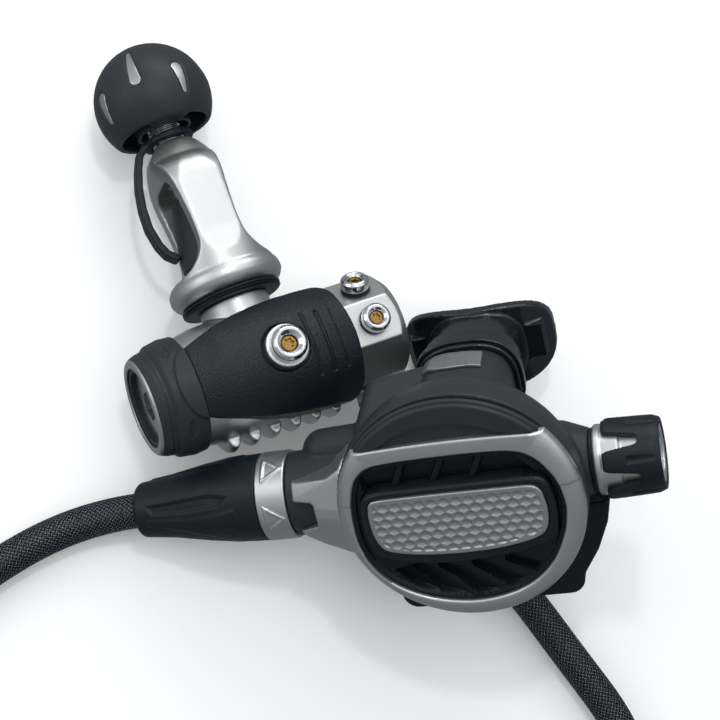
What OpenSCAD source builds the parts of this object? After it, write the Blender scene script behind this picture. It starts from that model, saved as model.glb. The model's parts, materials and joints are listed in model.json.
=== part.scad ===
// Scuba regulator set: a yoke-clamp first stage and a second stage, joined by one
// braided low-pressure hose, lying on a flat surface. Millimetres, +Z up.
//
// Each stage is drawn in its own frame and then laid down by on_first() or on_second().
//   First stage:  x along the body to the port end, y up the yoke, z out of the side port.
//   Second stage: x to the adjustment knob, y up, z out of the front cover.

/* [Lay of the set] */
// First stage: x of its body centre
first_x = -38; // [-40:0.5:-36]
// First stage: y of its body centre
first_y = -17; // [-18:0.5:-16]
// First stage: height of its body centre
first_z = 27.3; // [27.3:0.1:28]
// First stage: turn about its own body axis
first_roll = -2.4; // [-3:0.1:-2]
// First stage: dip of the port end
first_pitch = 8.4; // [8:0.1:9]
// First stage: heading on the surface
first_yaw = 21.5; // [20:0.5:23]
// Second stage: x of its front cover centre
second_x = 27; // [26:0.5:28]
// Second stage: y of its front cover centre
second_y = -72.5; // [-73:0.5:-72]
// Second stage: height of its front cover centre
second_z = 80.1; // [80.1:0.1:80.6]
// Second stage: lean back of the front cover
second_roll = 34.6; // [34:0.1:35]
// Second stage: rise towards the knob
second_pitch = -24; // [-24.5:0.5:-23.5]
// Second stage: heading on the surface
second_yaw = 5; // [4:0.5:6]

/* [First stage body] */
// Radius of the barrel
barrel_r = 22.6; // [22:0.1:23]
// End of the threaded spigot, left of the yoke axis
spigot_x = 36; // [34:0.5:37]
// Radius of the threaded spigot
spigot_r = 17; // [16.5:0.1:17.3]
// Start of the port block, right of the yoke axis
block_x = 28; // [27:0.5:29]
// End of the port block
block_end = 54.5; // [54:0.5:56]
// Radius of the port block over its corners
block_r = 21.4; // [21:0.1:22]
// Number of cooling fins
fin_count = 6; // [3:1:7]
// Spacing of the cooling fins
fin_step = 8.2; // [7.8:0.1:8.4]
// Radius of a low-pressure port (3/8 inch thread)
low_port_r = 4.75; // [4.6:0.05:4.9]
// Radius of the high-pressure port (7/16 inch thread)
high_port_r = 5.55; // [5.4:0.05:5.7]
// Distance of the high-pressure port from the yoke axis
high_port_x = 4.5; // [4:0.5:6]
// Distance of the low-pressure ports from the yoke axis
low_port_x = 42; // [41:0.5:43]

/* [Yoke and inlet] */
// Radius of the yoke's base ring
base_r = 22; // [21.5:0.5:23]
// Underside of the base ring above the body axis
base_y = 29; // [29:0.5:30]
// Top face of the base ring above the body axis
window_y = 40; // [39.5:0.5:40.5]
// Top of the window above the body axis
window_top = 77; // [76:0.5:78]
// Top of the screw boss above the body axis
boss_y = 92; // [91:0.5:93]
// Radius of the screw boss
boss_r = 11.2; // [11:0.1:12]
// Half of the window's width
arm_gap = 13.5; // [13.2:0.1:14]
// Thickness of a yoke arm
arm_t = 6.5; // [6:0.5:7.5]
// Half of a yoke arm's width
arm_w = 8.5; // [8:0.1:9]
// Radius of the inlet retainer's neck
inlet_r = 9; // [8.6:0.1:9.4]

/* [Yoke screw and knob] */
// Radius of the yoke screw
screw_r = 6.4; // [6.2:0.1:6.6]
// Pitch of the yoke screw
screw_pitch = 1.6; // [1.5:0.05:1.75]
// Radius of the ball knob
knob_r = 22.5; // [22:0.1:23]
// Centre of the ball knob above the body axis
knob_y = 110.5; // [110:0.5:111]
// Number of inlays round the knob
inlay_count = 8; // [6:2:8]
// Radius of the screw tip
tip_r = 5.5; // [5.4:0.1:5.8]

/* [Second stage case] */
// Radius of the case at its front rim
case_r = 43.5; // [43:0.1:44]
// Depth of the case behind its front rim
case_depth = 44.5; // [44:0.5:46]
// Height of the valve axis on the case
axis_y = -0.6; // [-0.8:0.1:0]
// Depth of the valve axis behind the front rim
axis_z = -23.7; // [-24:0.1:-23.5]
// Half of the mouthpiece duct's width
duct_w = 17; // [16.5:0.1:17.5]
// Half of the mouthpiece duct's height
duct_h = 14.5; // [14:0.1:15]
// Height of the mouthpiece duct's centre
duct_y = 18; // [17.5:0.5:18.5]
// Rear end of the mouthpiece duct behind the front rim
duct_end = 80; // [79:0.5:80.5]

/* [Front cover] */
// Radius of the bezel's opening
opening_r = 37.5; // [37:0.1:37.8]
// Top edge of the bezel's opening
opening_top = 21.8; // [21.5:0.1:22]
// Top edge of the bezel's silver band
band_top = 27.5; // [27:0.1:28]
// Half of the purge plate's width
plate_w = 31; // [30.5:0.1:31.2]
// Top edge of the purge plate
plate_top = 9; // [8.8:0.1:9.2]
// Bottom edge of the purge plate at its middle
plate_bottom = -14.5; // [-14.6:0.1:-14.3]
// Travel of the purge button
purge_travel = 2.5; // [2:0.1:2.5]

/* [Hose side and knob side] */
// Radius of the selector ring
ring_r = 16.2; // [16:0.1:16.6]
// Far end of the selector sleeve
sleeve_end = 125; // [124:0.5:125.5]
// Radius of the selector sleeve at its far end
sleeve_end_r = 10.2; // [10:0.1:10.4]
// Radius of the adjustment knob
grip_r = 14.2; // [14:0.1:14.4]
// Start of the adjustment knob from the cover centre
grip_x = 48.5; // [48.5:0.1:49]
// Length of the adjustment knob
grip_len = 20.5; // [20:0.5:21]

/* [Hose] */
// Outer diameter of the braided hose
hose_d = 13; // [12:0.5:13]

/* [Hidden] */

$fn = 64;
fit = 0.05;             // radial clearance of a running fit
wall = 2.5;             // wall of the moulded housings
hex_sides = 6;
eps = 0.5;              // how far a cutter runs past a face

diaphragm_x = -21;      // face that the first-stage diaphragm sits on
cap_r = 18.4;           // end face of the diaphragm end cap
cap_end = -46;
plug_r = 5.4;           // head of a port plug
high_boss = 28.6;       // top of the high-pressure port's boss
fitting_turn = -105;    // direction of the hose port about the body axis, from z towards y
plug_turns = [0, 45];     // directions of the two plugged low-pressure ports
shelf_z = -12.1;        // shelf that the second-stage diaphragm sits on
shelf_r = 40.5;
lever_x = 14;           // pivot of the demand lever
lever_z = axis_z + 8.2;
tee_top = -15;          // height of the exhaust tee's wing tips
tee_front = -20;
tee_back = -54.5;
tee_middle = -45;
cap_height = 70;        // top of the dust cap above the body axis
tip_y = 70.6;           // free end of the screw tip
knob_flat = 12.5;       // flat underside of the ball knob below its centre
inlay_turn = 200;       // first inlay about the screw
clamp_z = -60;
mark_turns = [115, 183]; // raised triangles on the selector ring, about the valve axis

satin = [0.74, 0.75, 0.77];
shine = [0.80, 0.81, 0.83];
black = [0.10, 0.10, 0.11];
rubber = [0.07, 0.07, 0.08];
charcoal = [0.22, 0.22, 0.23];
brass = [0.78, 0.62, 0.30];
steel = [0.62, 0.63, 0.65];
silicone = [0.16, 0.15, 0.15];
clear = [0.75, 0.75, 0.72];

// Centre line of the hose, from the first-stage fitting round to the sleeve
hose_path = [
    [11.3, -31.7, 14.1], [15.6, -43.6, 11.2], [21, -54.3, 9], [28, -63.3, 7.5],
    [36.3, -70.8, 6.7], [46.4, -79, 6.6], [57.5, -89, 6.6], [68.4, -101.2, 6.6],
    [79.2, -115.2, 6.6], [90.5, -130, 6.6], [101, -144.6, 6.6], [109, -162, 6.6],
    [113, -181, 6.6], [111.5, -201, 6.6], [105, -219, 6.6], [94, -235.5, 6.6], [79, -248, 6.6],
    [61, -256.5, 6.6], [38, -260.5, 6.6], [14, -261.5, 6.6], [-10, -261.5, 6.6],
    [-34, -260.5, 6.6], [-59, -259, 6.6], [-84, -257, 6.6], [-107, -252.5, 6.6],
    [-128.5, -243.5, 6.6], [-147, -229, 6.6], [-161, -210.5, 6.6], [-170, -189, 6.6],
    [-173, -166, 6.6], [-170, -143, 6.6], [-161.5, -121, 6.6], [-148, -102.5, 6.6],
    [-131.3, -89.2, 6.6], [-117, -80.5, 6.6], [-102.5, -74.1, 6.8], [-87.8, -70.1, 9],
    [-74.4, -68.3, 13.6], [-58.5, -67, 20.7], [-43.9, -65.7, 27.2]
];

module on_first() {
    translate([first_x, first_y, first_z])
        rotate([first_roll, first_pitch, first_yaw]) children();
}
module on_second() {
    translate([second_x, second_y, second_z])
        rotate([second_roll, second_pitch, second_yaw]) children();
}
module along_x() { rotate([0, 90, 0]) children(); }
module along_y() { rotate([-90, 0, 0]) children(); }
module on_valve_axis() { translate([0, axis_y, axis_z]) along_x() children(); }
module turned(profile) { rotate_extrude() polygon(profile); }
module tube(r_out, r_in, from, to) {
    translate([0, 0, from]) difference() {
        cylinder(r = r_out, h = to - from);
        translate([0, 0, -eps]) cylinder(r = r_in, h = to - from + 2 * eps);
    }
}
module ring_bead(r, bead) { rotate_extrude() translate([r, 0]) circle(r = bead, $fn = 24); }

// Arc of points about a centre, from angle a to angle b
function arc(cx, cy, r, a, b, steps) =
    [for (i = [0:steps]) [cx + r * cos(a + (b - a) * i / steps), cy + r * sin(a + (b - a) * i / steps)]];
// Rounded oval outline of half width w and half height h
function oval(w, h, power = 2.6, steps = 40) =
    [for (i = [0:steps - 1]) let (a = 360 * i / steps, c = cos(a), s = sin(a))
        [w * sign(c) * pow(abs(c), 2 / power), h * sign(s) * pow(abs(s), 2 / power)]];

// Triangle skin of a round tube that runs through the given rings of points
function ring_faces(rings, sides) = concat(
    [for (i = [0:rings - 2]) for (j = [0:sides - 1]) for (k = [0, 1])
        let (a = i * sides + j, b = i * sides + (j + 1) % sides)
        k == 0 ? [a, b, b + sides] : [a, b + sides, a + sides]],
    [[for (j = [sides - 1:-1:0]) j], [for (j = [0:sides - 1]) (rings - 1) * sides + j]]);

// Helical spring of round wire along z
module coil(r, wire, turns, length, sides = 6, steps = 12) {
    total = turns * steps;
    rings = [for (i = [0:total]) for (j = [0:sides - 1])
        let (a = 360 * i / steps, b = -360 * j / sides, q = r + wire / 2 * cos(b))
        [q * cos(a), q * sin(a), length * i / total + wire / 2 * sin(b)]];
    polyhedron(points = rings, faces = ring_faces(total + 1, sides), convexity = 10);
}

// ---------------------------------------------------------------- first stage

module port_turn(angle) { rotate([-angle, 0, 0]) children(); }

module cooling_fins() {
    intersection() {
        for (i = [0:fin_count - 1]) translate([-20 + i * fin_step, 0, 0])
            along_x() ring_bead(barrel_r - 0.2, 2.3);
        translate([-30, -40, -16]) cube([60, 30, 20.8]);
    }
}

module first_stage_body() {
    color(satin) on_first() difference() {
        union() {
            along_x() turned([[0, -spigot_x], [spigot_r, -spigot_x], [spigot_r, -28.9],
                [20.6, -28.9], [barrel_r - 0.6, -22], [barrel_r, -14], [barrel_r, 16],
                [barrel_r - 1.2, 24], [19.6, block_x], [0, block_x]]);
            intersection() {
                along_x() rotate([0, 0, 22.5]) translate([0, 0, block_x - 1])
                    cylinder(r = block_r, h = block_end - block_x + 1, $fn = 8);
                along_x() turned([[0, block_x - 1], [block_r + 1, block_x - 1],
                    [block_r + 1, block_end - 5], [block_r - 4, block_end], [0, block_end]]);
            }
            cooling_fins();
            along_y() cylinder(r = 13.5, h = base_y - 2.4);
            translate([high_port_x, 0, 0]) cylinder(r = 8.1, h = high_boss);
        }
        along_x() {
            translate([0, 0, -spigot_x - eps]) cylinder(r = 15.5, h = spigot_x + diaphragm_x + eps);
            translate([0, 0, -21.5]) cylinder(r = 13, h = 6.5);
            translate([0, 0, -16]) cylinder(r = 9, h = 7);
            translate([0, 0, -10]) cylinder(r = 4.5, h = 6);
            translate([0, 0, -5]) cylinder(r = 6.2, h = 29);
            translate([0, 0, 24]) cylinder(r = 8.5, h = 40);
        }
        translate([-18, -11, 0]) along_x() cylinder(r = 1.9, h = low_port_x + 18);
        along_y() cylinder(r = 4, h = 40);
        along_y() translate([0, 0, 20]) cylinder(r = inlet_r, h = 20);
        translate([high_port_x, 0, 0]) cylinder(r = 2, h = 20);
        translate([high_port_x, 0, 13]) cylinder(r = high_port_r, h = 20);
        for (a = concat(plug_turns, [fitting_turn])) port_turn(a)
            translate([low_port_x, 0, 7]) cylinder(r = low_port_r, h = 20);
        // Spot face under the hose fitting
        port_turn(fitting_turn) translate([low_port_x, 0, 19.9]) cylinder(r = 9.2, h = 12);
    }
}

// Outline of the body cover seen from the side port
cover_outline = concat(
    [[-31, 11.8], [-24, 14.4], [-16, 17], [-8, 18.8], [0, 19.8], [10, 20.4]],
    arc(24.2, 13, 7, 88, 5, 6), [[32.2, 4], [32.6, -3], [32.4, -10]],
    arc(26.2, -18.4, 5.6, 5, -82, 6),
    [[16, -23.6], [4, -22.5], [-8, -20.4], [-18, -17.6], [-26, -15.3], [-31, -13.4]]);

module body_cover() {
    color(black) on_first() difference() {
        intersection() {
            along_x() turned([[barrel_r + 0.1, -29.5], [24.2, -29.5], [26, -18], [26.9, 2],
                [26.2, 20], [24.4, 32], [barrel_r + 0.1, 34.5]]);
            translate([0, 0, 5]) linear_extrude(height = 32) polygon(cover_outline);
        }
        translate([high_port_x, 0, 0]) cylinder(r = 9.2, h = 40);
        along_y() cylinder(r = 13.6, h = 40);
        // Three grooves towards the port end
        for (i = [0:2]) intersection() {
            translate([14.6 + 5.7 * i, 0, 0]) along_x() ring_bead(26.6 - 0.5 * i, 0.75);
            translate([0, -13.6, 10]) cube([40, 24.4 - i, 30]);
        }
    }
}

module diaphragm_end_cap() {
    color(black) on_first() {
        along_x() turned([[13.4, cap_end], [cap_r, cap_end], [19.6, -43], [19.2, -42.3], [19.9, -41.6],
            [19.5, -40.9], [21.2, -39.5], [22.2, -34], [21.8, -29.2], [spigot_r + 0.05, -29.2],
            [spigot_r + 0.05, -spigot_x - 0.1], [15.4, -spigot_x - 0.1],
            [15.4, diaphragm_x - 1.3], [13.4, diaphragm_x - 1.3]]);
        // Raised pad that carries on the body cover's outline
        intersection() {
            along_x() turned([[21, -37], [22.6, -37], [24, -29.6], [21, -29.6]]);
            translate([-29, -0.6, 5]) linear_extrude(height = 30) polygon(oval(7.8, 13.4, 2));
        }
    }
}

module cap_trim_ring() {
    color(shine) on_first() along_x() turned([[15.2, cap_end - 0.9], [17.6, cap_end - 0.9],
        [cap_r, cap_end - 0.1], [15.2, cap_end - 0.1]]);
}

module spring_adjuster() {
    color(steel) on_first() along_x() difference() {
        translate([0, 0, -44]) cylinder(r = 13.3, h = 6);
        translate([0, 0, -45]) cylinder(r = 6, h = 4.5, $fn = hex_sides);
    }
}

module main_spring() {
    color(steel) on_first() along_x() translate([0, 0, -36.6])
        coil(9.6, 2.4, 4, 10.6, sides = 8, steps = 16);
}

module spring_pad() {
    color(brass) on_first() along_x() turned([[0, -27], [3, -27], [6, -24.7], [12.6, -24.7],
        [12.6, -22.5], [0, -22.5]]);
}

module first_stage_diaphragm() {
    color(rubber) on_first() along_x() translate([0, 0, diaphragm_x - 1.25]) cylinder(r = 15.3, h = 1.2);
}

module lifter_pin() {
    color(brass) on_first() along_x() turned([[0, diaphragm_x + 0.05], [8, diaphragm_x + 0.05],
        [8, -19.6], [2, -18.4], [1.2, -17.4], [1.2, -4.95], [0, -4.95]]);
}

module first_stage_seat() {
    color(brass) on_first() along_x() turned([[2, -9], [4.45, -9], [4.45, -5.6], [3.2, -5.6],
        [2.6, -5.05], [2, -5.05]]);
}

module first_stage_poppet() {
    color(steel) on_first() along_x() turned([[0, -4.9], [4.4, -4.9], [4.4, -2.4], [2, -1.4],
        [2, 29], [0, 29]]);
}

module first_stage_poppet_spring() {
    color(steel) on_first() along_x() translate([0, 0, -1.6])
        coil(3.5, 0.9, 9, 23, sides = 6, steps = 10);
}

module balance_plug() {
    color(shine) on_first() along_x() difference() {
        turned([[2 + fit, 22.5], [6, 22.5], [6, 24.6], [8.4, 24.6], [8.4, 37], [5, 38], [5, 46],
            [8.4, 47], [8.4, block_end + 0.1], [10.5, block_end + 0.1], [10.5, block_end + 1.6],
            [9.8, block_end + 2.2], [0, block_end + 2.2], [0, 31], [2 + fit, 31]]);
        translate([0, 0, block_end - 3]) cylinder(r = 4.4, h = 10, $fn = hex_sides);
    }
}

// Half outline of the yoke seen along the body: [distance from the axis, height]
yoke_side = concat([[0, boss_y], [screw_r + 1, boss_y]], arc(screw_r + 1, boss_y - 9, 9, 80, 35, 4),
    arc(arm_gap + arm_t - 12, boss_y - 18, 12, 50, 0, 5),
    [[arm_gap + arm_t, 52], [arm_gap + arm_t + 0.8, 44], [base_r, window_y], [base_r, base_y + 4],
    [0, base_y + 4]]);
// Half outline of the yoke seen along the window
yoke_face = concat([[0, boss_y], [screw_r + 1, boss_y]], arc(boss_r - 7, boss_y - 7.4, 7, 75, 0, 5),
    [[arm_w + 0.8, 68], [arm_w, 58]], arc(arm_w + 13, 51.5, 13, 180, 250, 6),
    [[base_r, window_y - 3], [base_r, base_y + 4], [0, base_y + 4]]);
// Half outline of the round form that trims the arms' corners
yoke_envelope = concat([[0, base_y + 3], [base_r, base_y + 3]], arc(base_r - 4, window_y - 5, 4, 0, 45, 3),
    [[base_r - 0.6, 46], [base_r - 0.6, 72]], arc(base_r - 14.6, 72, 14, 0, 60, 6),
    [[screw_r + 3, boss_y], [0, boss_y]]);

module both_sides(outline) { polygon(outline); mirror([1, 0]) polygon(outline); }

module yoke() {
    color(satin) on_first() difference() {
        union() {
            intersection() {
                translate([0, 0, -40]) linear_extrude(height = 80) both_sides(yoke_face);
                rotate([0, 90, 0]) translate([0, 0, -40]) linear_extrude(height = 80)
                    both_sides(yoke_side);
                along_y() turned(yoke_envelope);
            }
            along_y() turned(concat([[0, base_y], [base_r - 5.5, base_y]],
                arc(base_r - 5.5, base_y + 5.5, 5.5, -80, 80, 10), [[0, window_y]]));
            along_y() turned(concat([[0, window_top + 1], [boss_r - 0.6, window_top + 1]],
                arc(boss_r - 7, boss_y - 7.6, 6.8, 0, 70, 5), [[0, boss_y - 1.1]]));
        }
        // Window for the tank valve
        rotate([0, 90, 0]) translate([0, 0, -40]) linear_extrude(height = 80)
            polygon(concat([[-arm_gap, window_y], [arm_gap, window_y]],
                arc(arm_gap - 7, window_top - 7, 7, 0, 90, 5),
                arc(-arm_gap + 7, window_top - 7, 7, 90, 180, 5)));
        along_y() translate([0, 0, window_top - 2]) cylinder(r = screw_r + fit, h = 30);
        along_y() translate([0, 0, base_y - 2]) cylinder(r = 12.1, h = 30);
    }
}

module yoke_washer() {
    color(black) on_first() along_y() turned([[12.1, base_y - 2.3], [18.6, base_y - 2.3],
        [19.4, base_y - 1.6], [19.4, base_y - 0.1], [12.1, base_y - 0.1]]);
}

// Threaded retainer that clamps the yoke to the body and holds the inlet
module inlet_retainer() {
    color(shine) on_first() along_y() difference() {
        turned([[4.5, 20.2], [inlet_r - 0.05, 20.2], [inlet_r - 0.05, base_y - 2.35], [12, base_y - 2.35],
            [12, window_y], [13, window_y + 0.1], [13, window_y + 2.2], [12.2, window_y + 3],
            [10, window_y + 3], [10, window_y + 1.6], [7.2, window_y + 1.6], [7.2, window_y + 3],
            [6, window_y + 3], [6, 30], [4.5, 30]]);
        for (a = [0:60:300]) rotate([0, 0, a]) translate([13.6, 0, window_y - 1])
            cylinder(r = 1.5, h = 6);
    }
}

module inlet_filter() {
    color(brass) on_first() along_y() turned([[0, 31.2], [3.6, 31.2], [5.9, 39.6], [0, 39.6]]);
}

module filter_retaining_ring() {
    color(steel) on_first() along_y() tube(5.95, 4.9, 39.7, 40.7);
}

module inlet_o_ring() {
    color(rubber) on_first() along_y() translate([0, 0, window_y + 2.75]) ring_bead(8.6, 1.1);
}

// Thread of the yoke screw, as rings cut at its pitch
module thread_grooves(from, count) {
    for (i = [0:count - 1]) translate([0, 0, from + i * screw_pitch])
        turned([[screw_r + 0.3, 0], [screw_r - 0.55, screw_pitch * 0.45],
            [screw_r + 0.3, screw_pitch * 0.9]]);
}

module yoke_screw() {
    color(shine) on_first() along_y() difference() {
        union() {
            translate([0, 0, tip_y + 8]) cylinder(r = screw_r, h = knob_y - tip_y - 2);
            translate([0, 0, tip_y + 6.4]) cylinder(r1 = 5, r2 = screw_r, h = 1.7);
            translate([0, 0, tip_y + 3]) cylinder(r = 3, h = 4);
        }
        thread_grooves(tip_y + 8.6, 18);
    }
}

// Teardrops round the knob: every second one is longer, sits higher and points up
module teardrops(grow) {
    for (i = [0:inlay_count - 1]) let (high = i % 2, half = high ? 8.6 : 6.4)
        rotate([0, 0, inlay_turn + i * 360 / inlay_count]) rotate([0, 90 - 27 * high, 0])
            translate([0, 0, knob_r - 4]) linear_extrude(height = 8) rotate(180 - 180 * high)
                polygon(concat(arc(half - 2.3, 0, 2.3 + grow, -83, 83, 8),
                    arc(-half + 0.9, 0, 0.9 + grow, 97, 263, 5)));
}

// Kidney-shaped pocket in the knob's underside
module knob_pocket() {
    intersection() {
        translate([0, 0, -knob_r]) difference() {
            cylinder(r = 16.8, h = 18);
            cylinder(r = 10.8, h = 18);
        }
        translate([0, 0, -knob_r]) linear_extrude(height = 18)
            polygon([[0, 0], [14, -30], [40, -30], [40, 30], [20, 30]]);
    }
}

module yoke_knob() {
    color(charcoal) on_first() translate([0, knob_y, 0]) along_y() difference() {
        sphere(r = knob_r, $fn = 96);
        translate([0, 0, -knob_r - 1]) cylinder(r = knob_r, h = knob_r + 1 - knob_flat);
        translate([0, 0, -knob_r - 1]) cylinder(r = 9.4, h = knob_r - 6);
        translate([0, 0, -knob_r - 1]) cylinder(r = screw_r + 0.02, h = knob_r + 7.2);
        knob_pocket();
        rotate([0, 0, 180]) knob_pocket();
        teardrops(fit);
    }
}

module knob_inlays() {
    color(satin) on_first() translate([0, knob_y, 0]) along_y() intersection() {
        teardrops(0);
        sphere(r = knob_r - 0.3, $fn = 96);
    }
}

// Pad on the screw's end that doesn't turn with it
module screw_tip() {
    color(steel) on_first() along_y() difference() {
        turned([[0, tip_y], [3.2, tip_y], [tip_r, tip_y + 1.6], [tip_r, tip_y + 5.2],
            [4.6, tip_y + 6.2], [0, tip_y + 6.2]]);
        translate([0, 0, tip_y + 2.9]) cylinder(r = 3 + fit, h = 5);
    }
}

module dust_cap() {
    color(charcoal) on_first() along_y() difference() {
        union() {
            turned([[0, window_y + 3.05], [13.2, window_y + 3.05], [13.2, window_y + 7],
                [11.6, window_y + 15], [9.6, window_y + 24], [8.6, cap_height - 1.4],
                [7.4, cap_height], [0, cap_height]]);
            turned([[0, window_y + 3.05], [5.9, window_y + 3.05], [5.9, window_y + 1.2], [0, window_y + 1.2]]);
        }
        translate([0, 0, cap_height - 1]) cylinder(r = 4, h = 4);
        tube(10, 7.1, window_y + 2, window_y + 4.1);
    }
}

// Centre line of the strap in the plane of the screw and the body
strap_line = [[-9.6, 94.4], [-13, 91.5], [-15.6, 86], [-18, 79], [-19.6, 71], [-20, 63],
    [-18.8, 56], [-17, 51.8], [-14.3, 49.4]];
strap_t = 2.6;
strap_w = 6;

module strap_step(i) {
    a = strap_line[i];
    b = strap_line[i + 1];
    d = b - a;
    n = [-d[1], d[0]] / norm(d) * strap_t / 2;
    polygon([a + n, b + n, b - n, a - n]);
    translate(b) circle(r = strap_t / 2, $fn = 24);
}

module dust_cap_strap() {
    color(rubber) on_first() {
        translate([0, 0, -strap_w / 2]) linear_extrude(height = strap_w)
            for (i = [0:len(strap_line) - 2]) strap_step(i);
        along_y() tube(9.8, screw_r + 0.5, boss_y + 1.2, boss_y + 3.8);
    }
}

module plug_shape(socket) {
    difference() {
        turned([[0, -7], [4.6, -7], [4.6, 0], [plug_r, 0], [plug_r, 3], [plug_r - 1, 4], [0, 4]]);
        translate([0, 0, 1]) cylinder(r = socket, h = 5, $fn = hex_sides);
    }
}

module high_pressure_plug() {
    color(shine) on_first() translate([high_port_x, 0, high_boss + 0.1]) difference() {
        turned([[0, -8], [high_port_r - 0.05, -8], [high_port_r - 0.05, 0], [6.7, 0], [6.7, 3.4],
            [5.6, 4.6], [0, 4.6]]);
        translate([0, 0, 0.6]) cylinder(r = 3, h = 6);
    }
}

module high_pressure_insert() {
    color(brass) on_first() translate([high_port_x, 0, high_boss + 0.7]) difference() {
        cylinder(r = 2.95, h = 2.4);
        translate([0, 0, 0.8]) for (a = [0:60:300]) rotate([0, 0, a])
            translate([1.3, 0, 0]) cylinder(r = 0.6, h = 3);
        translate([0, 0, 0.8]) cylinder(r = 1.3, h = 3);
    }
}

module low_pressure_plugs() {
    color(shine) on_first() for (a = plug_turns) port_turn(a)
        translate([low_port_x, 0, 21.3]) plug_shape(2.5);
}

module plug_o_rings() {
    color(rubber) on_first() {
        for (a = plug_turns) port_turn(a) translate([low_port_x, 0, 0]) tube(5.5, 4.65, 19.85, 21.25);
    }
}

module crimp_sleeve(length) {
    turned([[hose_d / 2 - 1.3, 0], [8.3, 0], [8.3, length * 0.25], [7.7, length * 0.3],
        [7.7, length * 0.4], [8.3, length * 0.45], [8.3, length * 0.6], [7.7, length * 0.65],
        [7.7, length * 0.75], [8.3, length * 0.8], [8.3, length - 1], [7.6, length],
        [hose_d / 2 + fit, length], [hose_d / 2 + fit, 6], [hose_d / 2 - 1.3, 6]]);
}

module first_stage_hose_fitting() {
    color(shine) on_first() port_turn(fitting_turn) translate([low_port_x, 0, 19.9]) {
        difference() {
            turned([[0, -8], [low_port_r - 0.05, -8], [low_port_r - 0.05, 0.1], [7, 0.1], [7, 1.4], [0, 1.4]]);
            translate([0, 0, -9]) cylinder(r = 2.6, h = 12);
        }
        difference() {
            translate([0, 0, 1.3]) cylinder(r = 8.7, h = 5, $fn = hex_sides);
            cylinder(r = 2.6, h = 10);
        }
        translate([0, 0, 6.2]) crimp_sleeve(12);
    }
}

// --------------------------------------------------------------- second stage

module case_form(grow) {
    turned([[0, -case_depth - grow], [20, -case_depth - grow], [25.5 + grow, -41.8],
        [29.6 + grow, -37.6], [33.4 + grow, -32.2], [37.3 + grow, -26], [40.3 + grow, -20],
        [42.6 + grow, -14], [case_r + grow, -8], [case_r + grow, -1.2], [0, -1.2]]);
}

// Swelling over the neck, and the web that runs back from the rim to the duct
module case_swellings() {
    hull() {
        translate([-51.5, 13, -28.7]) sphere(r = 8, $fn = 24);
        translate([-32, 13, -29]) sphere(r = 8.6, $fn = 24);
    }
    hull() {
        translate([-32, 23.5, -12]) sphere(r = 3.5, $fn = 16);
        translate([-34.8, 19.5, -34]) sphere(r = 4, $fn = 16);
        translate([-30.6, 28.7, -40]) sphere(r = 4, $fn = 16);
        translate([-14, 27, -53.2]) sphere(r = 2.6, $fn = 16);
        translate([-10, 12, -52]) sphere(r = 3, $fn = 16);
    }
}

module second_stage_case() {
    color(black) on_second() difference() {
        union() {
            case_form(0);
            translate([0, duct_y, -duct_end]) linear_extrude(height = duct_end - 31)
                polygon(oval(duct_w, duct_h));
            // Neck on the hose side, with the journal of the selector ring
            on_valve_axis() turned([[0, -72], [11.5, -72], [11.5, -64.2], [15.4, -64.2],
                [15.4, -30], [0, -30]]);
            // Shoulder on the knob side
            on_valve_axis() turned([[0, 30], [16, 30], [15, 36], [12.8, 41.4], [11.6, 44.4], [0, 44.4]]);
            // Seat of the exhaust valve
            translate([0, -30, -27]) rotate([90, 0, 0]) cylinder(r = 14.5, h = 13.2);
            case_swellings();
        }
        turned([[0, -case_depth + wall], [19, -case_depth + wall], [23.7, -39.5], [27.4, -35.7],
            [31, -30.8], [34.9, -24.6], [37.5, -19], [37.5, shelf_z], [shelf_r, shelf_z],
            [shelf_r, 0], [0, 0]]);
        translate([0, duct_y, -duct_end - eps]) linear_extrude(height = 48)
            polygon(oval(duct_w - wall, duct_h - wall));
        on_valve_axis() {
            translate([0, 0, -73]) cylinder(r = 10.2, h = 16);
            translate([0, 0, -58]) cylinder(r = 7.55, h = 30);
            translate([0, 0, 30]) cylinder(r = 7.55, h = 9);
            translate([0, 0, 30]) cylinder(r = 4 + fit, h = 20);
        }
        translate([0, -30, -27]) rotate([90, 0, 0]) difference() {
            translate([0, 0, -2]) cylinder(r = 11, h = 20);
            for (a = [0, 60, 120]) rotate([0, 0, a]) translate([-12, -1, 10.2]) cube([24, 2, 3]);
            cylinder(r = 3, h = 13.2);
        }
        translate([0, -30, -27]) rotate([90, 0, 0]) translate([0, 0, -2]) cylinder(r = 1.3, h = 20);
    }
}

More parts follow.
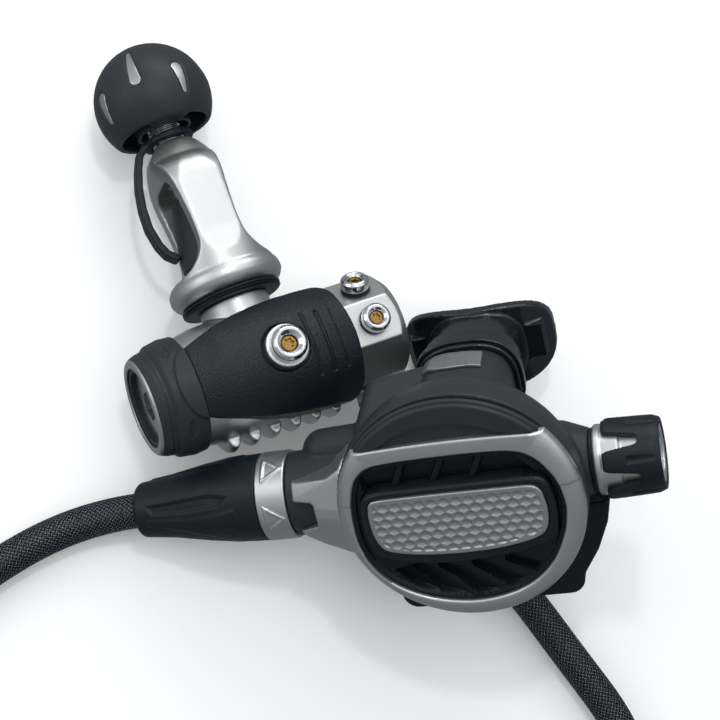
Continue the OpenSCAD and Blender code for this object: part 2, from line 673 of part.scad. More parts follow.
module hose_side_fairing() {
    color(satin) on_second() difference() {
        hull() {
            translate([0, axis_y, axis_z]) along_x() translate([0, 0, -61.2])
                cylinder(r = 17.2, h = 1, $fn = 32);
            translate([-39, axis_y, -19]) along_x() cylinder(r = 19, h = 4, $fn = 32);
            translate([-34, -18, -6]) sphere(r = 3, $fn = 16);
            translate([-35, 17, -6]) sphere(r = 3, $fn = 16);
        }
        case_form(0.1);
        case_swellings();
        on_valve_axis() translate([0, 0, -70]) cylinder(r = 15.5, h = 60);
        cylinder(r = case_r + 0.1, h = 60, center = true);
        // Open above the upper prong, between the prongs and below the lower one
        translate([0, 0, axis_z - 40]) linear_extrude(height = 80) {
            polygon([[-70, 11], [-59.5, 11], [-47, 13.6], [-41, 17.5], [-38, 40], [-70, 40]]);
            polygon([[-70, -7.7], [-61, -7.7], [-59.6, -10.4], [-54, -14.4], [-47, -17],
                [-40, -40], [-70, -40]]);
        }
        translate([0, 0, axis_z]) linear_extrude(height = 40)
            polygon([[-70, 4.8], [-54.4, 4.8], [-53.4, 3.8], [-53.2, -4.5], [-61, -7.7], [-70, -7.8]]);
        // The claw reaches over the front only
        translate([-70, -40, axis_z - 40]) cube([60, 80, 42]);
        translate([0, 0, tee_back - eps]) linear_extrude(height = tee_front - tee_back + eps + 0.2)
            polygon(tee_outline(-0.2));
    }
}

// Outline of the bezel's opening: a circle with a flat top and round corners
opening_corner = 7;
corner_x = sqrt(pow(opening_r - opening_corner, 2) - pow(opening_top - opening_corner, 2));
corner_turn = atan2(opening_top - opening_corner, corner_x);
function opening(shrink) = concat(
    arc(0, 0, opening_r - shrink, 180 - corner_turn, 360 + corner_turn, 36),
    arc(corner_x, opening_top - opening_corner, opening_corner - shrink, corner_turn, 90, 6),
    arc(-corner_x, opening_top - opening_corner, opening_corner - shrink, 90, 180 - corner_turn, 6));

module crescent(r, from) {
    a = asin(from / r);
    polygon(arc(0, 0, r, a, 180 - a, 24));
}

module front_bezel() {
    color(satin) on_second() difference() {
        turned([[34, -1.1], [case_r - 0.4, -1.1], [case_r - 0.2, 0.6], [case_r - 1.4, 2.2],
            [case_r - 3.2, 3.2], [24, 3.4], [24, 1], [34, 1]]);
        translate([0, 0, -5]) linear_extrude(height = 20) polygon(opening(0));
        translate([0, 0, 1]) linear_extrude(height = 20) crescent(60, band_top);
    }
}

module bezel_crescent() {
    color(charcoal) on_second() intersection() {
        turned([[20, 1.05], [case_r - 0.9, 1.05], [case_r - 1.6, 2], [case_r - 3.6, 2.8],
            [32, 2.4], [31, 1.6], [20, 1.6]]);
        linear_extrude(height = 20) crescent(60, band_top + 0.1);
    }
}

// Outline of the purge plate: straight top, bowed bottom, round corners
function plate_outline(grow) = let (w = plate_w + grow, t = plate_top + grow, b = plate_bottom - grow)
    concat(arc(w - 5, t - 5, 5, 0, 90, 5), arc(-w + 5, t - 5, 5, 90, 180, 5),
        [[-w, b + 8]], arc(-w + 5.5, b + 9, 5.5, 195, 255, 4),
        [for (i = [-4:4]) [i * (w - 8) / 4, b + 3 * i * i / 16]],
        arc(w - 5.5, b + 9, 5.5, 285, 345, 4), [[w, b + 8]]);

module front_grille() {
    color(black) on_second() difference() {
        union() {
            difference() {
                turned([[0, -3.6], [38.4, -3.6], [38.4, -10], [shelf_r - 0.1, -10],
                    [shelf_r - 0.1, -1.3], [36.6, -1.3], [36.6, -1.4], [0, -1.4]]);
                translate([0, 0, -12]) linear_extrude(height = 20) polygon(plate_outline(3.2));
                // Slots between the slats
                for (side = [-1, 1]) for (i = [-3:3]) translate([i * 9.4, side * 21.5 - 2, -12])
                    rotate([0, 0, side * -14]) translate([-3.2, -5, 0]) cube([6.4, 10, 20]);
            }
            // Ribs raised over the slots, and the collar round the plate
            difference() {
                intersection() {
                    translate([0, 0, -3.6]) linear_extrude(height = 5) polygon(opening(0.3));
                    union() {
                        for (side = [-1, 1]) for (i = [-3:4])
                            translate([i * 9.4 - 4.7, side * 21.5 - 2, -2.4])
                                rotate([0, 0, side * -14]) translate([-1, -9, 0]) cube([2, 18, 3.2]);
                        translate([0, 0, -3.6]) linear_extrude(height = 4.4) polygon(plate_outline(5));
                    }
                }
                translate([0, 0, -12]) linear_extrude(height = 24) polygon(plate_outline(3.2));
            }
            // Bridge that carries the purge spring
            translate([-5, -20, -2.9 - purge_travel]) cube([10, 36, 2]);
        }
        translate([0, 0, -12]) cylinder(r = 2.6, h = 20);
    }
}

module purge_carrier() {
    color(rubber) on_second() difference() {
        union() {
            translate([0, 0, 0.2]) linear_extrude(height = 4.4) polygon(plate_outline(2.8));
            translate([0, 0, -7.9]) cylinder(r = 2.5, h = 9);
        }
        translate([0, 0, 3.4]) linear_extrude(height = 4) polygon(plate_outline(0.05));
    }
}

module purge_plate() {
    color(shine) on_second() difference() {
        translate([0, 0, 3.45]) linear_extrude(height = 2.4) polygon(plate_outline(0));
        // Dimples in staggered rows
        for (row = [-3:2]) for (i = [-8:8])
            translate([i * 3.4 + (row % 2 == 0 ? 0 : 1.7), row * 3 - 1.5, 5.5])
                cylinder(r = 1.25, h = 2);
    }
}

module purge_spring() {
    color(steel) on_second() translate([0, 0, -0.4 - purge_travel])
        coil(4.2, 0.8, 3, purge_travel + 0.1, sides = 6, steps = 12);
}

module second_stage_diaphragm() {
    color(silicone) on_second() turned([[14.2, -9.2], [30, -10.4], [34, -12.6], [37, -11.2],
        [38.6, -12], [shelf_r - 0.2, -12], [shelf_r - 0.2, -10.1], [37, -10.1], [34, -11.6],
        [30, -9.5], [14.2, -8.2]]);
}

module diaphragm_disc() {
    color(clear) on_second() turned([[0, -9.4], [14.1, -9.4], [14.1, -8], [0, -8]]);
}

module valve_barrel() {
    color(shine) on_second() difference() {
        union() {
            on_valve_axis() turned([[0, -63], [6, -63], [6, -57], [7.5, -57], [7.5, 38.5], [0, 38.5]]);
            for (side = [-1, 1]) translate([lever_x - 3, axis_y + side * 5.5 - 1, axis_z + 4])
                cube([6, 2, 6.5]);
        }
        on_valve_axis() {
            translate([0, 0, -64]) cylinder(r = 3, h = 30);
            translate([0, 0, -36]) cylinder(r = 6, h = 80);
        }
        translate([lever_x - 9, axis_y - 4.4, axis_z]) cube([14, 8.8, 12]);
        translate([lever_x, axis_y + 10, lever_z]) rotate([90, 0, 0]) cylinder(r = 1.02, h = 20);
        // Outlet towards the mouthpiece duct
        translate([-18, axis_y, axis_z - 12]) cylinder(r = 3.5, h = 10);
    }
}

module seat_orifice() {
    color(brass) on_second() on_valve_axis() turned([[2, -35.9], [5.95, -35.9], [5.95, -26],
        [3.4, -26], [2.6, -24], [2, -24]]);
}

module second_stage_poppet() {
    color(clear) on_second() on_valve_axis() turned([[0, -23.9], [4, -23.9], [4, -21.5],
        [5.9, -21.4], [5.9, -14], [3.4, -13], [2, -12], [2, 13.75], [5.6, 13.75], [5.6, 16], [0, 16]]);
}

module poppet_spring() {
    color(steel) on_second() on_valve_axis() translate([0, 0, 16.55])
        coil(3.6, 0.9, 5, 10, sides = 6, steps = 10);
}

module demand_lever() {
    color(steel) on_second() difference() {
        union() {
            // Fork on the pin, and the arm that bends up to the disc
            for (side = [-1, 1]) translate([lever_x, axis_y + side * 3.3 + 0.7, lever_z])
                rotate([90, 0, 0]) linear_extrude(height = 1.4)
                    polygon([[2.2, -1.8], [2.2, 1.8], [-3, 2], [-15, 5.95], [-18.6, 5.95],
                        [-18.6, 4.55], [-14, 4.55], [-2.2, -1.8], [-2.2, -5], [-0.7, -5], [-0.7, -2.6], [0, -1.8]]);
            translate([lever_x - 18.6, axis_y - 4, lever_z + 4.55]) cube([3.2, 8, 1.4]);
            translate([lever_x - 8, axis_y - 3.4, lever_z + 2.2]) cube([2.2, 6.8, 1.2]);
        }
        translate([lever_x, axis_y + 10, lever_z]) rotate([90, 0, 0]) cylinder(r = 1 + fit, h = 20);
    }
}

module lever_pin() {
    color(steel) on_second() translate([lever_x, axis_y + 6.4, lever_z]) rotate([90, 0, 0])
        cylinder(r = 1, h = 12.8);
}

module adjustment_screw() {
    color(brass) on_second() on_valve_axis() difference() {
        turned([[0, 27.2], [3, 27.2], [3, 28.2], [5.95, 28.2], [5.95, 36], [0, 36]]);
        translate([0, 0, 29.5]) cylinder(r = 2.5 + fit, h = 10);
    }
}

module knob_core() {
    color(satin) on_second() on_valve_axis() difference() {
        turned([[0, 30.5], [2.5, 30.5], [2.5, 36.5], [4, 37], [4, grip_x - 2.9],
            [11.8, grip_x - 2.9], [12.5, grip_x - 2.2], [12.5, grip_x - 0.4], [12.2, grip_x],
            [12.2, grip_x + 6], [11.4, grip_x + 7], [11.4, grip_x + 17],
            [10.6, grip_x + grip_len - 0.4], [0, grip_x + grip_len - 0.4]]);
        translate([0, 0, grip_x + grip_len - 3]) cylinder(r = 7.5, h = 6);
    }
}

module knob_grip() {
    color(rubber) on_second() on_valve_axis() difference() {
        turned([[12.3, grip_x + 0.6], [grip_r, grip_x + 0.6], [grip_r + 0.2, grip_x + 2],
            [grip_r - 0.6, grip_x + 18], [grip_r - 1.6, grip_x + grip_len], [10.8, grip_x + grip_len],
            [11.5, grip_x + 17], [11.5, grip_x + 7], [12.3, grip_x + 6]]);
        // Slots between the fingers, and a groove down each finger
        for (a = [6:60:306]) rotate([0, 0, a]) {
            translate([10, 0, 0]) rotate([0, 90, 0]) linear_extrude(height = 8)
                polygon(concat([[1 - grip_x, -4.9], [-2.4 - grip_x, -3.5]],
                    arc(-11.2 - grip_x, 0, 2, 270, 90, 8), [[-2.4 - grip_x, 3.5], [1 - grip_x, 4.9]]));
            rotate([0, 0, 30]) translate([grip_r + 0.9, 0, grip_x + 9]) cylinder(r = 1.9, h = 14);
        }
    }
}

module knob_o_ring() {
    color(rubber) on_second() on_valve_axis() translate([0, 0, 45]) ring_bead(10.9, 0.55);
}

module exhaust_valve() {
    color(silicone) on_second() translate([0, -43.3, -27]) rotate([-90, 0, 0])
        turned([[0, -1.5], [3, -1.5], [12.6, -0.9], [12.6, -0.1], [3, 0], [1.25, 0],
            [1.25, 9], [0, 9]]);
}

// Outline of the exhaust tee seen from the front
function tee_outline(shrink) = concat(
    [[48 - shrink, tee_top - shrink / 2], [46 - shrink, -24], [41 - shrink, -35]],
    arc(28 - shrink, -46.6 + shrink, 6, 10, -85, 6), arc(-28 + shrink, -46.6 + shrink, 6, 265, 170, 6),
    [[-41 + shrink, -35], [-46 + shrink, -24], [-48 + shrink, tee_top - shrink / 2]]);

// Space that keeps the tee's middle shallower than its swept-back wings
module tee_sweep(grow) {
    rotate([90, 0, 0]) translate([0, 0, -10]) linear_extrude(height = 80)
        polygon([[-29 - grow, tee_middle + grow], [29 + grow, tee_middle + grow],
            [34 + grow, tee_back - eps], [-34 - grow, tee_back - eps]]);
}

module exhaust_tee() {
    color(black) on_second() difference() {
        translate([0, 0, tee_back]) linear_extrude(height = tee_front - tee_back)
            polygon(tee_outline(0));
        tee_sweep(0);
        case_form(0.15);
        on_valve_axis() translate([0, 0, -66]) cylinder(r = 15.5, h = 112);
        translate([0, -30, -27]) rotate([90, 0, 0]) cylinder(r = 14.6, h = 13.3);
        // Air way from the valve to both wings
        difference() {
            translate([0, 0, tee_back + wall]) linear_extrude(height = tee_front - tee_back - 2 * wall)
                polygon(tee_outline(wall));
            tee_sweep(wall);
            case_form(2.2);
            translate([0, -30, -27]) rotate([90, 0, 0]) cylinder(r = 16.5, h = 9);
        }
        translate([0, -30, -27]) rotate([90, 0, 0]) cylinder(r = 13.2, h = 20);
        // Outlets in the back of the wings
        for (side = [-1, 1]) translate([side * 40.5 - 4, -36, tee_back - 5]) cube([8, 16, 12]);
    }
}

// Section of the lip shield seen from above, bowed round the bite
shield_bow = concat(arc(0, -47, 41, 138, 42, 14), arc(0, -50, 39.5, 40, 140, 14));

module mouthpiece() {
    color(silicone) on_second() difference() {
        union() {
            translate([0, duct_y, -88]) linear_extrude(height = 18)
                polygon(oval(duct_w + 1.1, duct_h + 1.1));
            translate([0, duct_y, -71]) linear_extrude(height = 15)
                polygon(oval(duct_w + 2, duct_h + 2));
            intersection() {
                translate([0, duct_y + 20, 0]) rotate([90, 0, 0]) linear_extrude(height = 40)
                    translate([0, -82.5 + 6]) polygon(shield_bow);
                translate([0, duct_y, -110]) linear_extrude(height = 50) polygon(oval(29, 17.4, 3));
            }
            for (side = [-1, 1]) translate([side * 22 - 3.5, duct_y - 7, -97]) cube([7, 14, 10]);
        }
        translate([0, duct_y, -duct_end - 0.1]) linear_extrude(height = 40)
            polygon(oval(duct_w + 0.05, duct_h + 0.05));
        translate([0, duct_y, -120]) linear_extrude(height = 60) polygon(oval(12, 8.5));
    }
}

module mouthpiece_clamp() {
    color(black) on_second() translate([0, duct_y, clamp_z - 2]) difference() {
        linear_extrude(height = 4) polygon(oval(duct_w + 3.2, duct_h + 3.2));
        translate([0, 0, -1]) linear_extrude(height = 6) polygon(oval(duct_w + 2.05, duct_h + 2.05));
    }
}

// Bare plate that follows the top of the duct
module duct_plate() {
    color(satin) on_second() difference() {
        intersection() {
            translate([0, duct_y, -58]) linear_extrude(height = 20) difference() {
                polygon(oval(duct_w + 1.1, duct_h + 1.1));
                polygon(oval(duct_w + 0.05, duct_h + 0.05));
            }
            translate([0, duct_y, 0]) rotate([-90, 0, 0]) linear_extrude(height = 30)
                polygon([[8.6, 42], [8.2, 53], [-2, 53.6], [-8, 54.6], [-16, 55.8], [-17, 50],
                    [-9, 43.5], [-4, 41.8]]);
        }
        case_swellings();
    }
}

module selector_ring() {
    color(satin) on_second() on_valve_axis() {
        turned([[11.5 + fit, -75.4], [ring_r - 0.3, -75.4], [ring_r, -75], [ring_r, -64.8],
            [ring_r - 0.3, -64.4], [11.5 + fit, -64.4]]);
        // Two raised triangular frames point at the two positions
        intersection() {
            tube(ring_r + 0.45, ring_r - 1, -75, -64.8);
            for (a = mark_turns) rotate([0, 0, a]) rotate([0, 90, 0])
                translate([69.3, 0, 10]) linear_extrude(height = 10) difference() {
                    polygon([[3.6, -5.4], [3.6, 5.4], [-3.9, 0]]);
                    polygon([[2.9, -4], [2.9, 4], [-2.6, 0]]);
                }
        }
    }
}

module selector_sleeve() {
    color(rubber) on_second() on_valve_axis() difference() {
        turned([[7.6, -sleeve_end], [sleeve_end_r - 1.2, -sleeve_end], [sleeve_end_r, -sleeve_end + 1.2],
            [sleeve_end_r + 1.3, -112], [14, -98], [15.4, -88], [ring_r - 0.3, -80],
            [ring_r - 0.2, -75.6], [11.6, -75.6], [11.6, -99], [7.2, -103], [7.2, -118]]);
        // Shallow flutes
        for (a = [15:60:315]) rotate([0, 0, a]) translate([16.6, 0, -116])
            rotate([0, 3.4, 0]) cylinder(r = 3, h = 30);
    }
}

module second_stage_hose_fitting() {
    color(shine) on_second() on_valve_axis() {
        difference() {
            translate([0, 0, -72]) cylinder(r = 10, h = 15, $fn = hex_sides);
            translate([0, 0, -64]) cylinder(r = 6.1, h = 10);
            translate([0, 0, -74]) cylinder(r = 2.6, h = 20);
        }
        difference() {
            translate([0, 0, -79]) cylinder(r = 7.4, h = 7.1);
            translate([0, 0, -80]) cylinder(r = 2.6, h = 20);
        }
        translate([0, 0, -78.9]) rotate([180, 0, 0]) crimp_sleeve(18);
    }
}

// ----------------------------------------------------------------------- hose

hose_sides = 10;
function unit(v) = v / norm(v);
function hose_dir(i) = let (last = len(hose_path) - 1)
    unit(hose_path[min(i + 1, last)] - hose_path[max(i - 1, 0)]);

module hose() {
    up = [0, 0, 1];
    rings = [for (i = [0:len(hose_path) - 1]) for (j = [0:hose_sides - 1])
        let (d = hose_dir(i), s = unit(cross(d, up)), t = cross(s, d), a = 360 * j / hose_sides)
        hose_path[i] + hose_d / 2 * (s * cos(a) + t * sin(a))];
    color(black) polyhedron(points = rings, faces = ring_faces(len(hose_path), hose_sides),
        convexity = 10);
}

first_stage_body();
body_cover();
diaphragm_end_cap();
cap_trim_ring();
spring_adjuster();
main_spring();
spring_pad();
first_stage_diaphragm();
lifter_pin();
first_stage_seat();
first_stage_poppet();
first_stage_poppet_spring();
balance_plug();
yoke();
yoke_washer();
inlet_retainer();
inlet_filter();
filter_retaining_ring();
inlet_o_ring();
yoke_screw();
yoke_knob();
knob_inlays();
screw_tip();
dust_cap();
dust_cap_strap();
high_pressure_plug();
high_pressure_insert();
low_pressure_plugs();
plug_o_rings();
first_stage_hose_fitting();
second_stage_case();
hose_side_fairing();
front_bezel();
bezel_crescent();
front_grille();
purge_carrier();
purge_plate();
purge_spring();
second_stage_diaphragm();
diaphragm_disc();
demand_lever();
lever_pin();
valve_barrel();
seat_orifice();
second_stage_poppet();
poppet_spring();
adjustment_screw();
knob_core();
knob_grip();
knob_o_ring();
exhaust_valve();
exhaust_tee();
mouthpiece();
mouthpiece_clamp();
duct_plate();
selector_ring();
selector_sleeve();
second_stage_hose_fitting();
hose();
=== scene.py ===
"""Looks of a scuba regulator set: a yoke-clamp first stage, a second stage and their hose.

Pieces are drawn in millimetres in the frame of the stage that they belong to, and placed in
metres at the end. First stage: x along the body to its port end, y up the yoke, z out of the
side port. Second stage: x to the knob, y up, z out of the front cover.
"""

import json
import math

import bmesh
import bpy
import numpy as np
from mathutils import Matrix, Vector


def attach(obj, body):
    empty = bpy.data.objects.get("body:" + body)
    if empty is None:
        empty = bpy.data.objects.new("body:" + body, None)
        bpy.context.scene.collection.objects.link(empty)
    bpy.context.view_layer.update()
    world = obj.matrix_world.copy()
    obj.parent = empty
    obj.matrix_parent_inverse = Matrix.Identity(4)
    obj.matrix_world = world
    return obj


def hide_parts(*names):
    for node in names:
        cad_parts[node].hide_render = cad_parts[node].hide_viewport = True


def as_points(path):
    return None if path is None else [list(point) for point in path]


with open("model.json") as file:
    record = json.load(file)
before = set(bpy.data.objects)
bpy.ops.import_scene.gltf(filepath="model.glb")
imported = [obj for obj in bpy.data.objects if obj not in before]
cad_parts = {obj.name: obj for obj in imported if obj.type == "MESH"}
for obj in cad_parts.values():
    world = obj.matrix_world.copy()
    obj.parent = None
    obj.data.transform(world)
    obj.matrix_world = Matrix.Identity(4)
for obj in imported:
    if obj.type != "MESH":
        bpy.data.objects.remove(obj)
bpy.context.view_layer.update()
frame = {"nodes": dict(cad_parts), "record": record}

MM = 0.001


# ------------------------------------------------------------------ placement
def stage_matrix(place, turn):
    """Matrix from a stage's millimetres to metres: placed at place, turned about x, y, then z."""
    turned = Matrix.Identity(4)
    for axis, angle in zip("XYZ", turn):
        turned = Matrix.Rotation(math.radians(angle), 4, axis) @ turned
    return Matrix.Translation(Vector(place) * MM) @ turned @ Matrix.Scale(MM, 4)


FIRST = stage_matrix((-38, -17, 27.3), (-2.4, 8.4, 21.5))
SECOND = stage_matrix((27, -72.5, 80.1), (34.6, -24, 5))
AXIS_Y, AXIS_Z = -0.6, -23.7          # valve axis of the second stage
ALONG_X = Matrix.Rotation(math.radians(90), 4, "Y")     # lathe axis z onto x
ALONG_Y = Matrix.Rotation(math.radians(-90), 4, "X")    # lathe axis z onto y
VALVE = SECOND @ Matrix.Translation((0, AXIS_Y, AXIS_Z)) @ ALONG_X
BODY_AXIS = FIRST @ ALONG_X
YOKE_AXIS = FIRST @ ALONG_Y


def port_place(angle, x, out):
    """Place of a port's head: angle about the body axis, from z towards y."""
    return FIRST @ Matrix.Rotation(math.radians(-angle), 4, "X") @ Matrix.Translation((x, 0, out))


# --------------------------------------------------------------------- camera
SENSOR_MM, LENS_MM = 36, 90           # 1800 px of focal length in a picture 720 px wide
CAMERA_PLACE = (-0.1002, -0.1282, 0.6863)
CAMERA_RIGHT = (0.988647, 0, 0.150259)
CAMERA_BACK = (-0.148054, -0.170694, 0.974137)


def make_camera():
    """The photograph's viewpoint, about 13 degrees off straight down."""
    data = bpy.data.cameras.new("camera")
    data.sensor_width = SENSOR_MM
    data.lens = LENS_MM
    data.clip_start = 0.05
    camera = bpy.data.objects.new("camera", data)
    bpy.context.scene.collection.objects.link(camera)
    right, back = Vector(CAMERA_RIGHT).normalized(), Vector(CAMERA_BACK).normalized()
    up = back.cross(right)
    turn = Matrix((right, up, back)).transposed().to_4x4()
    camera.matrix_world = Matrix.Translation(CAMERA_PLACE) @ turn
    bpy.context.scene.camera = camera


make_camera()


# ------------------------------------------------------------------ materials
class Nodes:
    """Short names for building a material's node tree."""

    def __init__(self, name):
        self.material = bpy.data.materials.new(name)
        self.material.use_nodes = True
        self.tree = self.material.node_tree
        self.shader = self.tree.nodes["Principled BSDF"]

    def add(self, kind, inputs=(), **settings):
        node = self.tree.nodes.new(kind)
        for key, value in settings.items():
            setattr(node, key, value)
        for key, value in dict(inputs).items():
            self.put(value, node.inputs[key])
        return node

    def put(self, value, socket):
        """A number or colour is set on the socket; an output is linked to it."""
        if isinstance(value, bpy.types.NodeSocket):
            self.tree.links.new(value, socket)
        else:
            socket.default_value = value

    def surface(self, **inputs):
        for key, value in inputs.items():
            self.put(value, self.shader.inputs[key.replace("_", " ")])

    def place(self):
        return self.add("ShaderNodeTexCoord").outputs["Object"]

    def noise(self, scale, detail=3, roughness=0.6, vector=None):
        return self.add("ShaderNodeTexNoise", {
            "Vector": vector or self.place(), "Scale": scale, "Detail": detail,
            "Roughness": roughness}).outputs["Fac"]

    def cells(self, scale, feature="F1", vector=None):
        return self.add("ShaderNodeTexVoronoi", {
            "Vector": vector or self.place(), "Scale": scale}, feature=feature).outputs["Distance"]

    def math(self, operation, a, b=0.5):
        return self.add("ShaderNodeMath", {0: a, 1: b}, operation=operation).outputs[0]

    def between(self, value, low, high, from_low=0.0, from_high=1.0):
        return self.add("ShaderNodeMapRange", {
            "Value": value, "From Min": from_low, "From Max": from_high,
            "To Min": low, "To Max": high}).outputs["Result"]

    def mix(self, factor, a, b):
        node = self.add("ShaderNodeMix", data_type="RGBA")
        self.put(factor, node.inputs[0])
        self.put((*a, 1) if isinstance(a, tuple) else a, node.inputs[6])
        self.put((*b, 1) if isinstance(b, tuple) else b, node.inputs[7])
        return node.outputs[2]

    def bump(self, height, distance):
        return self.add("ShaderNodeBump", {"Height": height, "Distance": distance}).outputs["Normal"]

    def edges(self):
        """0 in hollows and on flats, 1 on worn edges, broken up by noise."""
        sharp = self.add("ShaderNodeNewGeometry").outputs["Pointiness"]
        worn = self.between(sharp, 0.0, 1.0, 0.52, 0.62)
        return self.math("MULTIPLY", worn, self.between(self.noise(900, 2), 0.2, 1.0, 0.35, 0.7))


def satin_metal(name, color, roughness, grain=5200, depth=0.012, metallic=1.0):
    """Bead-blasted or lacquered silver: fine grain, soft blotches and handling marks."""
    n = Nodes(name)
    tint = n.mix(n.noise(260, 4), tuple(c * 0.93 for c in color), color)
    tint = n.mix(n.edges(), tint, tuple(min(1, c * 1.12) for c in color))
    scuffs = n.between(n.noise(1500, 6, 0.8), roughness - 0.05, roughness + 0.07, 0.3, 0.7)
    n.surface(Base_Color=tint, Metallic=metallic, Roughness=scuffs,
              Normal=n.bump(n.noise(grain, 2), depth * MM))
    return n.material


def polished_metal(name, color, roughness):
    """Plated or turned metal with faint swirls."""
    n = Nodes(name)
    tint = n.mix(n.noise(700, 5, 0.7), tuple(c * 0.9 for c in color), color)
    gloss = n.between(n.noise(2200, 5, 0.8), roughness * 0.6, roughness * 1.7, 0.3, 0.7)
    n.surface(Base_Color=tint, Metallic=1.0, Roughness=gloss,
              Normal=n.bump(n.noise(1200, 3), 0.004 * MM))
    return n.material


def moulding(name, color, roughness, grain=2600, depth=0.03, pebble=0.0):
    """Moulded plastic: spark-eroded grain, dusty patches and paler rubbed edges."""
    n = Nodes(name)
    tint = n.mix(n.noise(180, 5), tuple(c * 0.85 for c in color), color)
    tint = n.mix(n.math("MULTIPLY", n.edges(), 0.6), tint, tuple(c * 1.9 + 0.01 for c in color))
    height = n.noise(grain, 3, 0.7)
    if pebble:
        height = n.math("ADD", n.math("MULTIPLY", n.cells(pebble), 1.6),
                        n.math("MULTIPLY", height, 0.4))
    gloss = n.between(n.noise(900, 5, 0.7), roughness - 0.06, roughness + 0.08, 0.3, 0.7)
    n.surface(Base_Color=tint, Roughness=gloss, Specular_IOR_Level=0.24,
              Normal=n.bump(height, depth * MM))
    return n.material


def soft_rubber(name, color, roughness, bloom=0.25, shine=0.26):
    """Rubber: smooth grain with a faint grey bloom in patches."""
    n = Nodes(name)
    patches = n.between(n.noise(120, 6, 0.65), 0, bloom, 0.4, 0.75)
    tint = n.mix(patches, color, tuple(c * 1.6 + 0.02 for c in color))
    gloss = n.between(n.noise(600, 5, 0.7), roughness - 0.07, roughness + 0.1, 0.3, 0.7)
    n.surface(Base_Color=tint, Roughness=gloss, Specular_IOR_Level=shine,
              Normal=n.bump(n.noise(3500, 3), 0.02 * MM))
    return n.material


STRANDS, WEAVE_PITCH = 24, 0.55       # strands each way round the hose, turns of one per mm


def braid(name):
    """Glossy black braid: fine threads along the strands, with painted highlight dashes of grey-blue on
    the crests where they lie on top.
    """
    n = Nodes(name)
    uv = n.add("ShaderNodeSeparateXYZ", {0: n.add("ShaderNodeTexCoord").outputs["UV"]})
    around = n.math("MULTIPLY", uv.outputs[0], STRANDS * math.pi)
    waves = [n.math("SINE", n.math("ADD", around, n.math(
        "MULTIPLY", uv.outputs[1], way * WEAVE_PITCH * math.pi))) for way in (1, -1)]
    lift = n.math("MULTIPLY", n.math("SIGN", n.math("MULTIPLY", *waves)), 0.25)
    ridges = [n.math("MULTIPLY", n.math("ABSOLUTE", waves[0]), n.math("ADD", 0.75, lift)),
              n.math("MULTIPLY", n.math("ABSOLUTE", waves[1]), n.math("SUBTRACT", 0.75, lift))]
    weave = n.math("MAXIMUM", *ridges)
    fibres = n.noise(4200, 3)
    # painted highlight: narrow grey-blue dashes on the weave's crests stand in for the lamps' glints
    painted_glint = n.math("MULTIPLY", n.between(weave, 0, 1, 0.93, 0.99), n.between(fibres, 0, 1, 0.42, 0.6))
    tint = n.mix(painted_glint, (0.0015, 0.003, 0.006), (0.30, 0.34, 0.40))
    height = n.math("ADD", weave, n.math("MULTIPLY", fibres, 0.08))
    n.surface(Base_Color=tint, Roughness=n.between(fibres, 0.14, 0.26), Specular_IOR_Level=0.25,
              Normal=n.bump(height, 0.22 * MM))
    return n.material


LOOKS = {
    "satin_metal": satin_metal("satin_silver", (0.53, 0.54, 0.54), 0.40),
    "chrome": polished_metal("chrome", (0.66, 0.67, 0.69), 0.12),
    "plate_metal": satin_metal("plate_silver", (0.40, 0.415, 0.43), 0.34, 3000, 0.01, 0.9),
    "steel": polished_metal("steel", (0.50, 0.51, 0.52), 0.24),
    "brass": polished_metal("brass", (0.33, 0.20, 0.06), 0.24),
    "black_moulding": moulding("black_nylon", (0.004, 0.008, 0.013), 0.42),
    "charcoal_moulding": moulding("charcoal_nylon", (0.024, 0.028, 0.032), 0.44),
    "clear_moulding": moulding("milky_moulding", (0.42, 0.42, 0.40), 0.3, 1800, 0.01),
    "rubber": soft_rubber("black_rubber", (0.004, 0.008, 0.013), 0.44, 0.15),
    "silicone": soft_rubber("dark_silicone", (0.006, 0.009, 0.013), 0.11, 0.06, 0.55),
    "braid": braid("black_braid"),
}
PEBBLED = moulding("pebbled_nylon", (0.006, 0.010, 0.015), 0.40, 2600, 0.09, 1300)


# -------------------------------------------------------------- piece helpers
def mesh_object(name, points, faces):
    mesh = bpy.data.meshes.new(name)
    mesh.from_pydata([tuple(p) for p in points], [], [tuple(f) for f in faces])
    obj = bpy.data.objects.new(name, mesh)
    bpy.context.scene.collection.objects.link(obj)
    return obj


def tidy_mesh(obj, merge=1e-4):
    bm = bmesh.new()
    bm.from_mesh(obj.data)
    bmesh.ops.remove_doubles(bm, verts=bm.verts, dist=merge)
    bmesh.ops.dissolve_degenerate(bm, edges=bm.edges, dist=merge)
    bmesh.ops.recalc_face_normals(bm, faces=bm.faces)
    bm.to_mesh(obj.data)
    bm.free()
    return obj


def applied(obj, kind, **settings):
    """Run one modifier and keep its result as the piece's mesh."""
    modifier = obj.modifiers.new(kind, kind)
    for key, value in settings.items():
        setattr(modifier, key, value)
    bpy.context.view_layer.update()
    result = bpy.data.meshes.new_from_object(obj.evaluated_get(bpy.context.evaluated_depsgraph_get()))
    obj.modifiers.clear()
    obj.data = result
    return obj


def carve(obj, cutter):
    applied(obj, "BOOLEAN", operation="DIFFERENCE", solver="EXACT", object=cutter)
    bpy.data.objects.remove(cutter)
    return obj


def soften(obj, voxel, rounds):
    """Even mesh of about one voxel per face, with its edges rounded like a casting's."""
    applied(obj, "REMESH", mode="VOXEL", voxel_size=voxel)
    return applied(obj, "SMOOTH", factor=0.5, iterations=rounds)


def reshape(obj, change):
    """Move a piece's vertices: change(points) gives their new places."""
    points = np.empty(len(obj.data.vertices) * 3)
    obj.data.vertices.foreach_get("co", points)
    obj.data.vertices.foreach_set("co", change(points.reshape(-1, 3)).ravel())
    obj.data.update()
    return obj


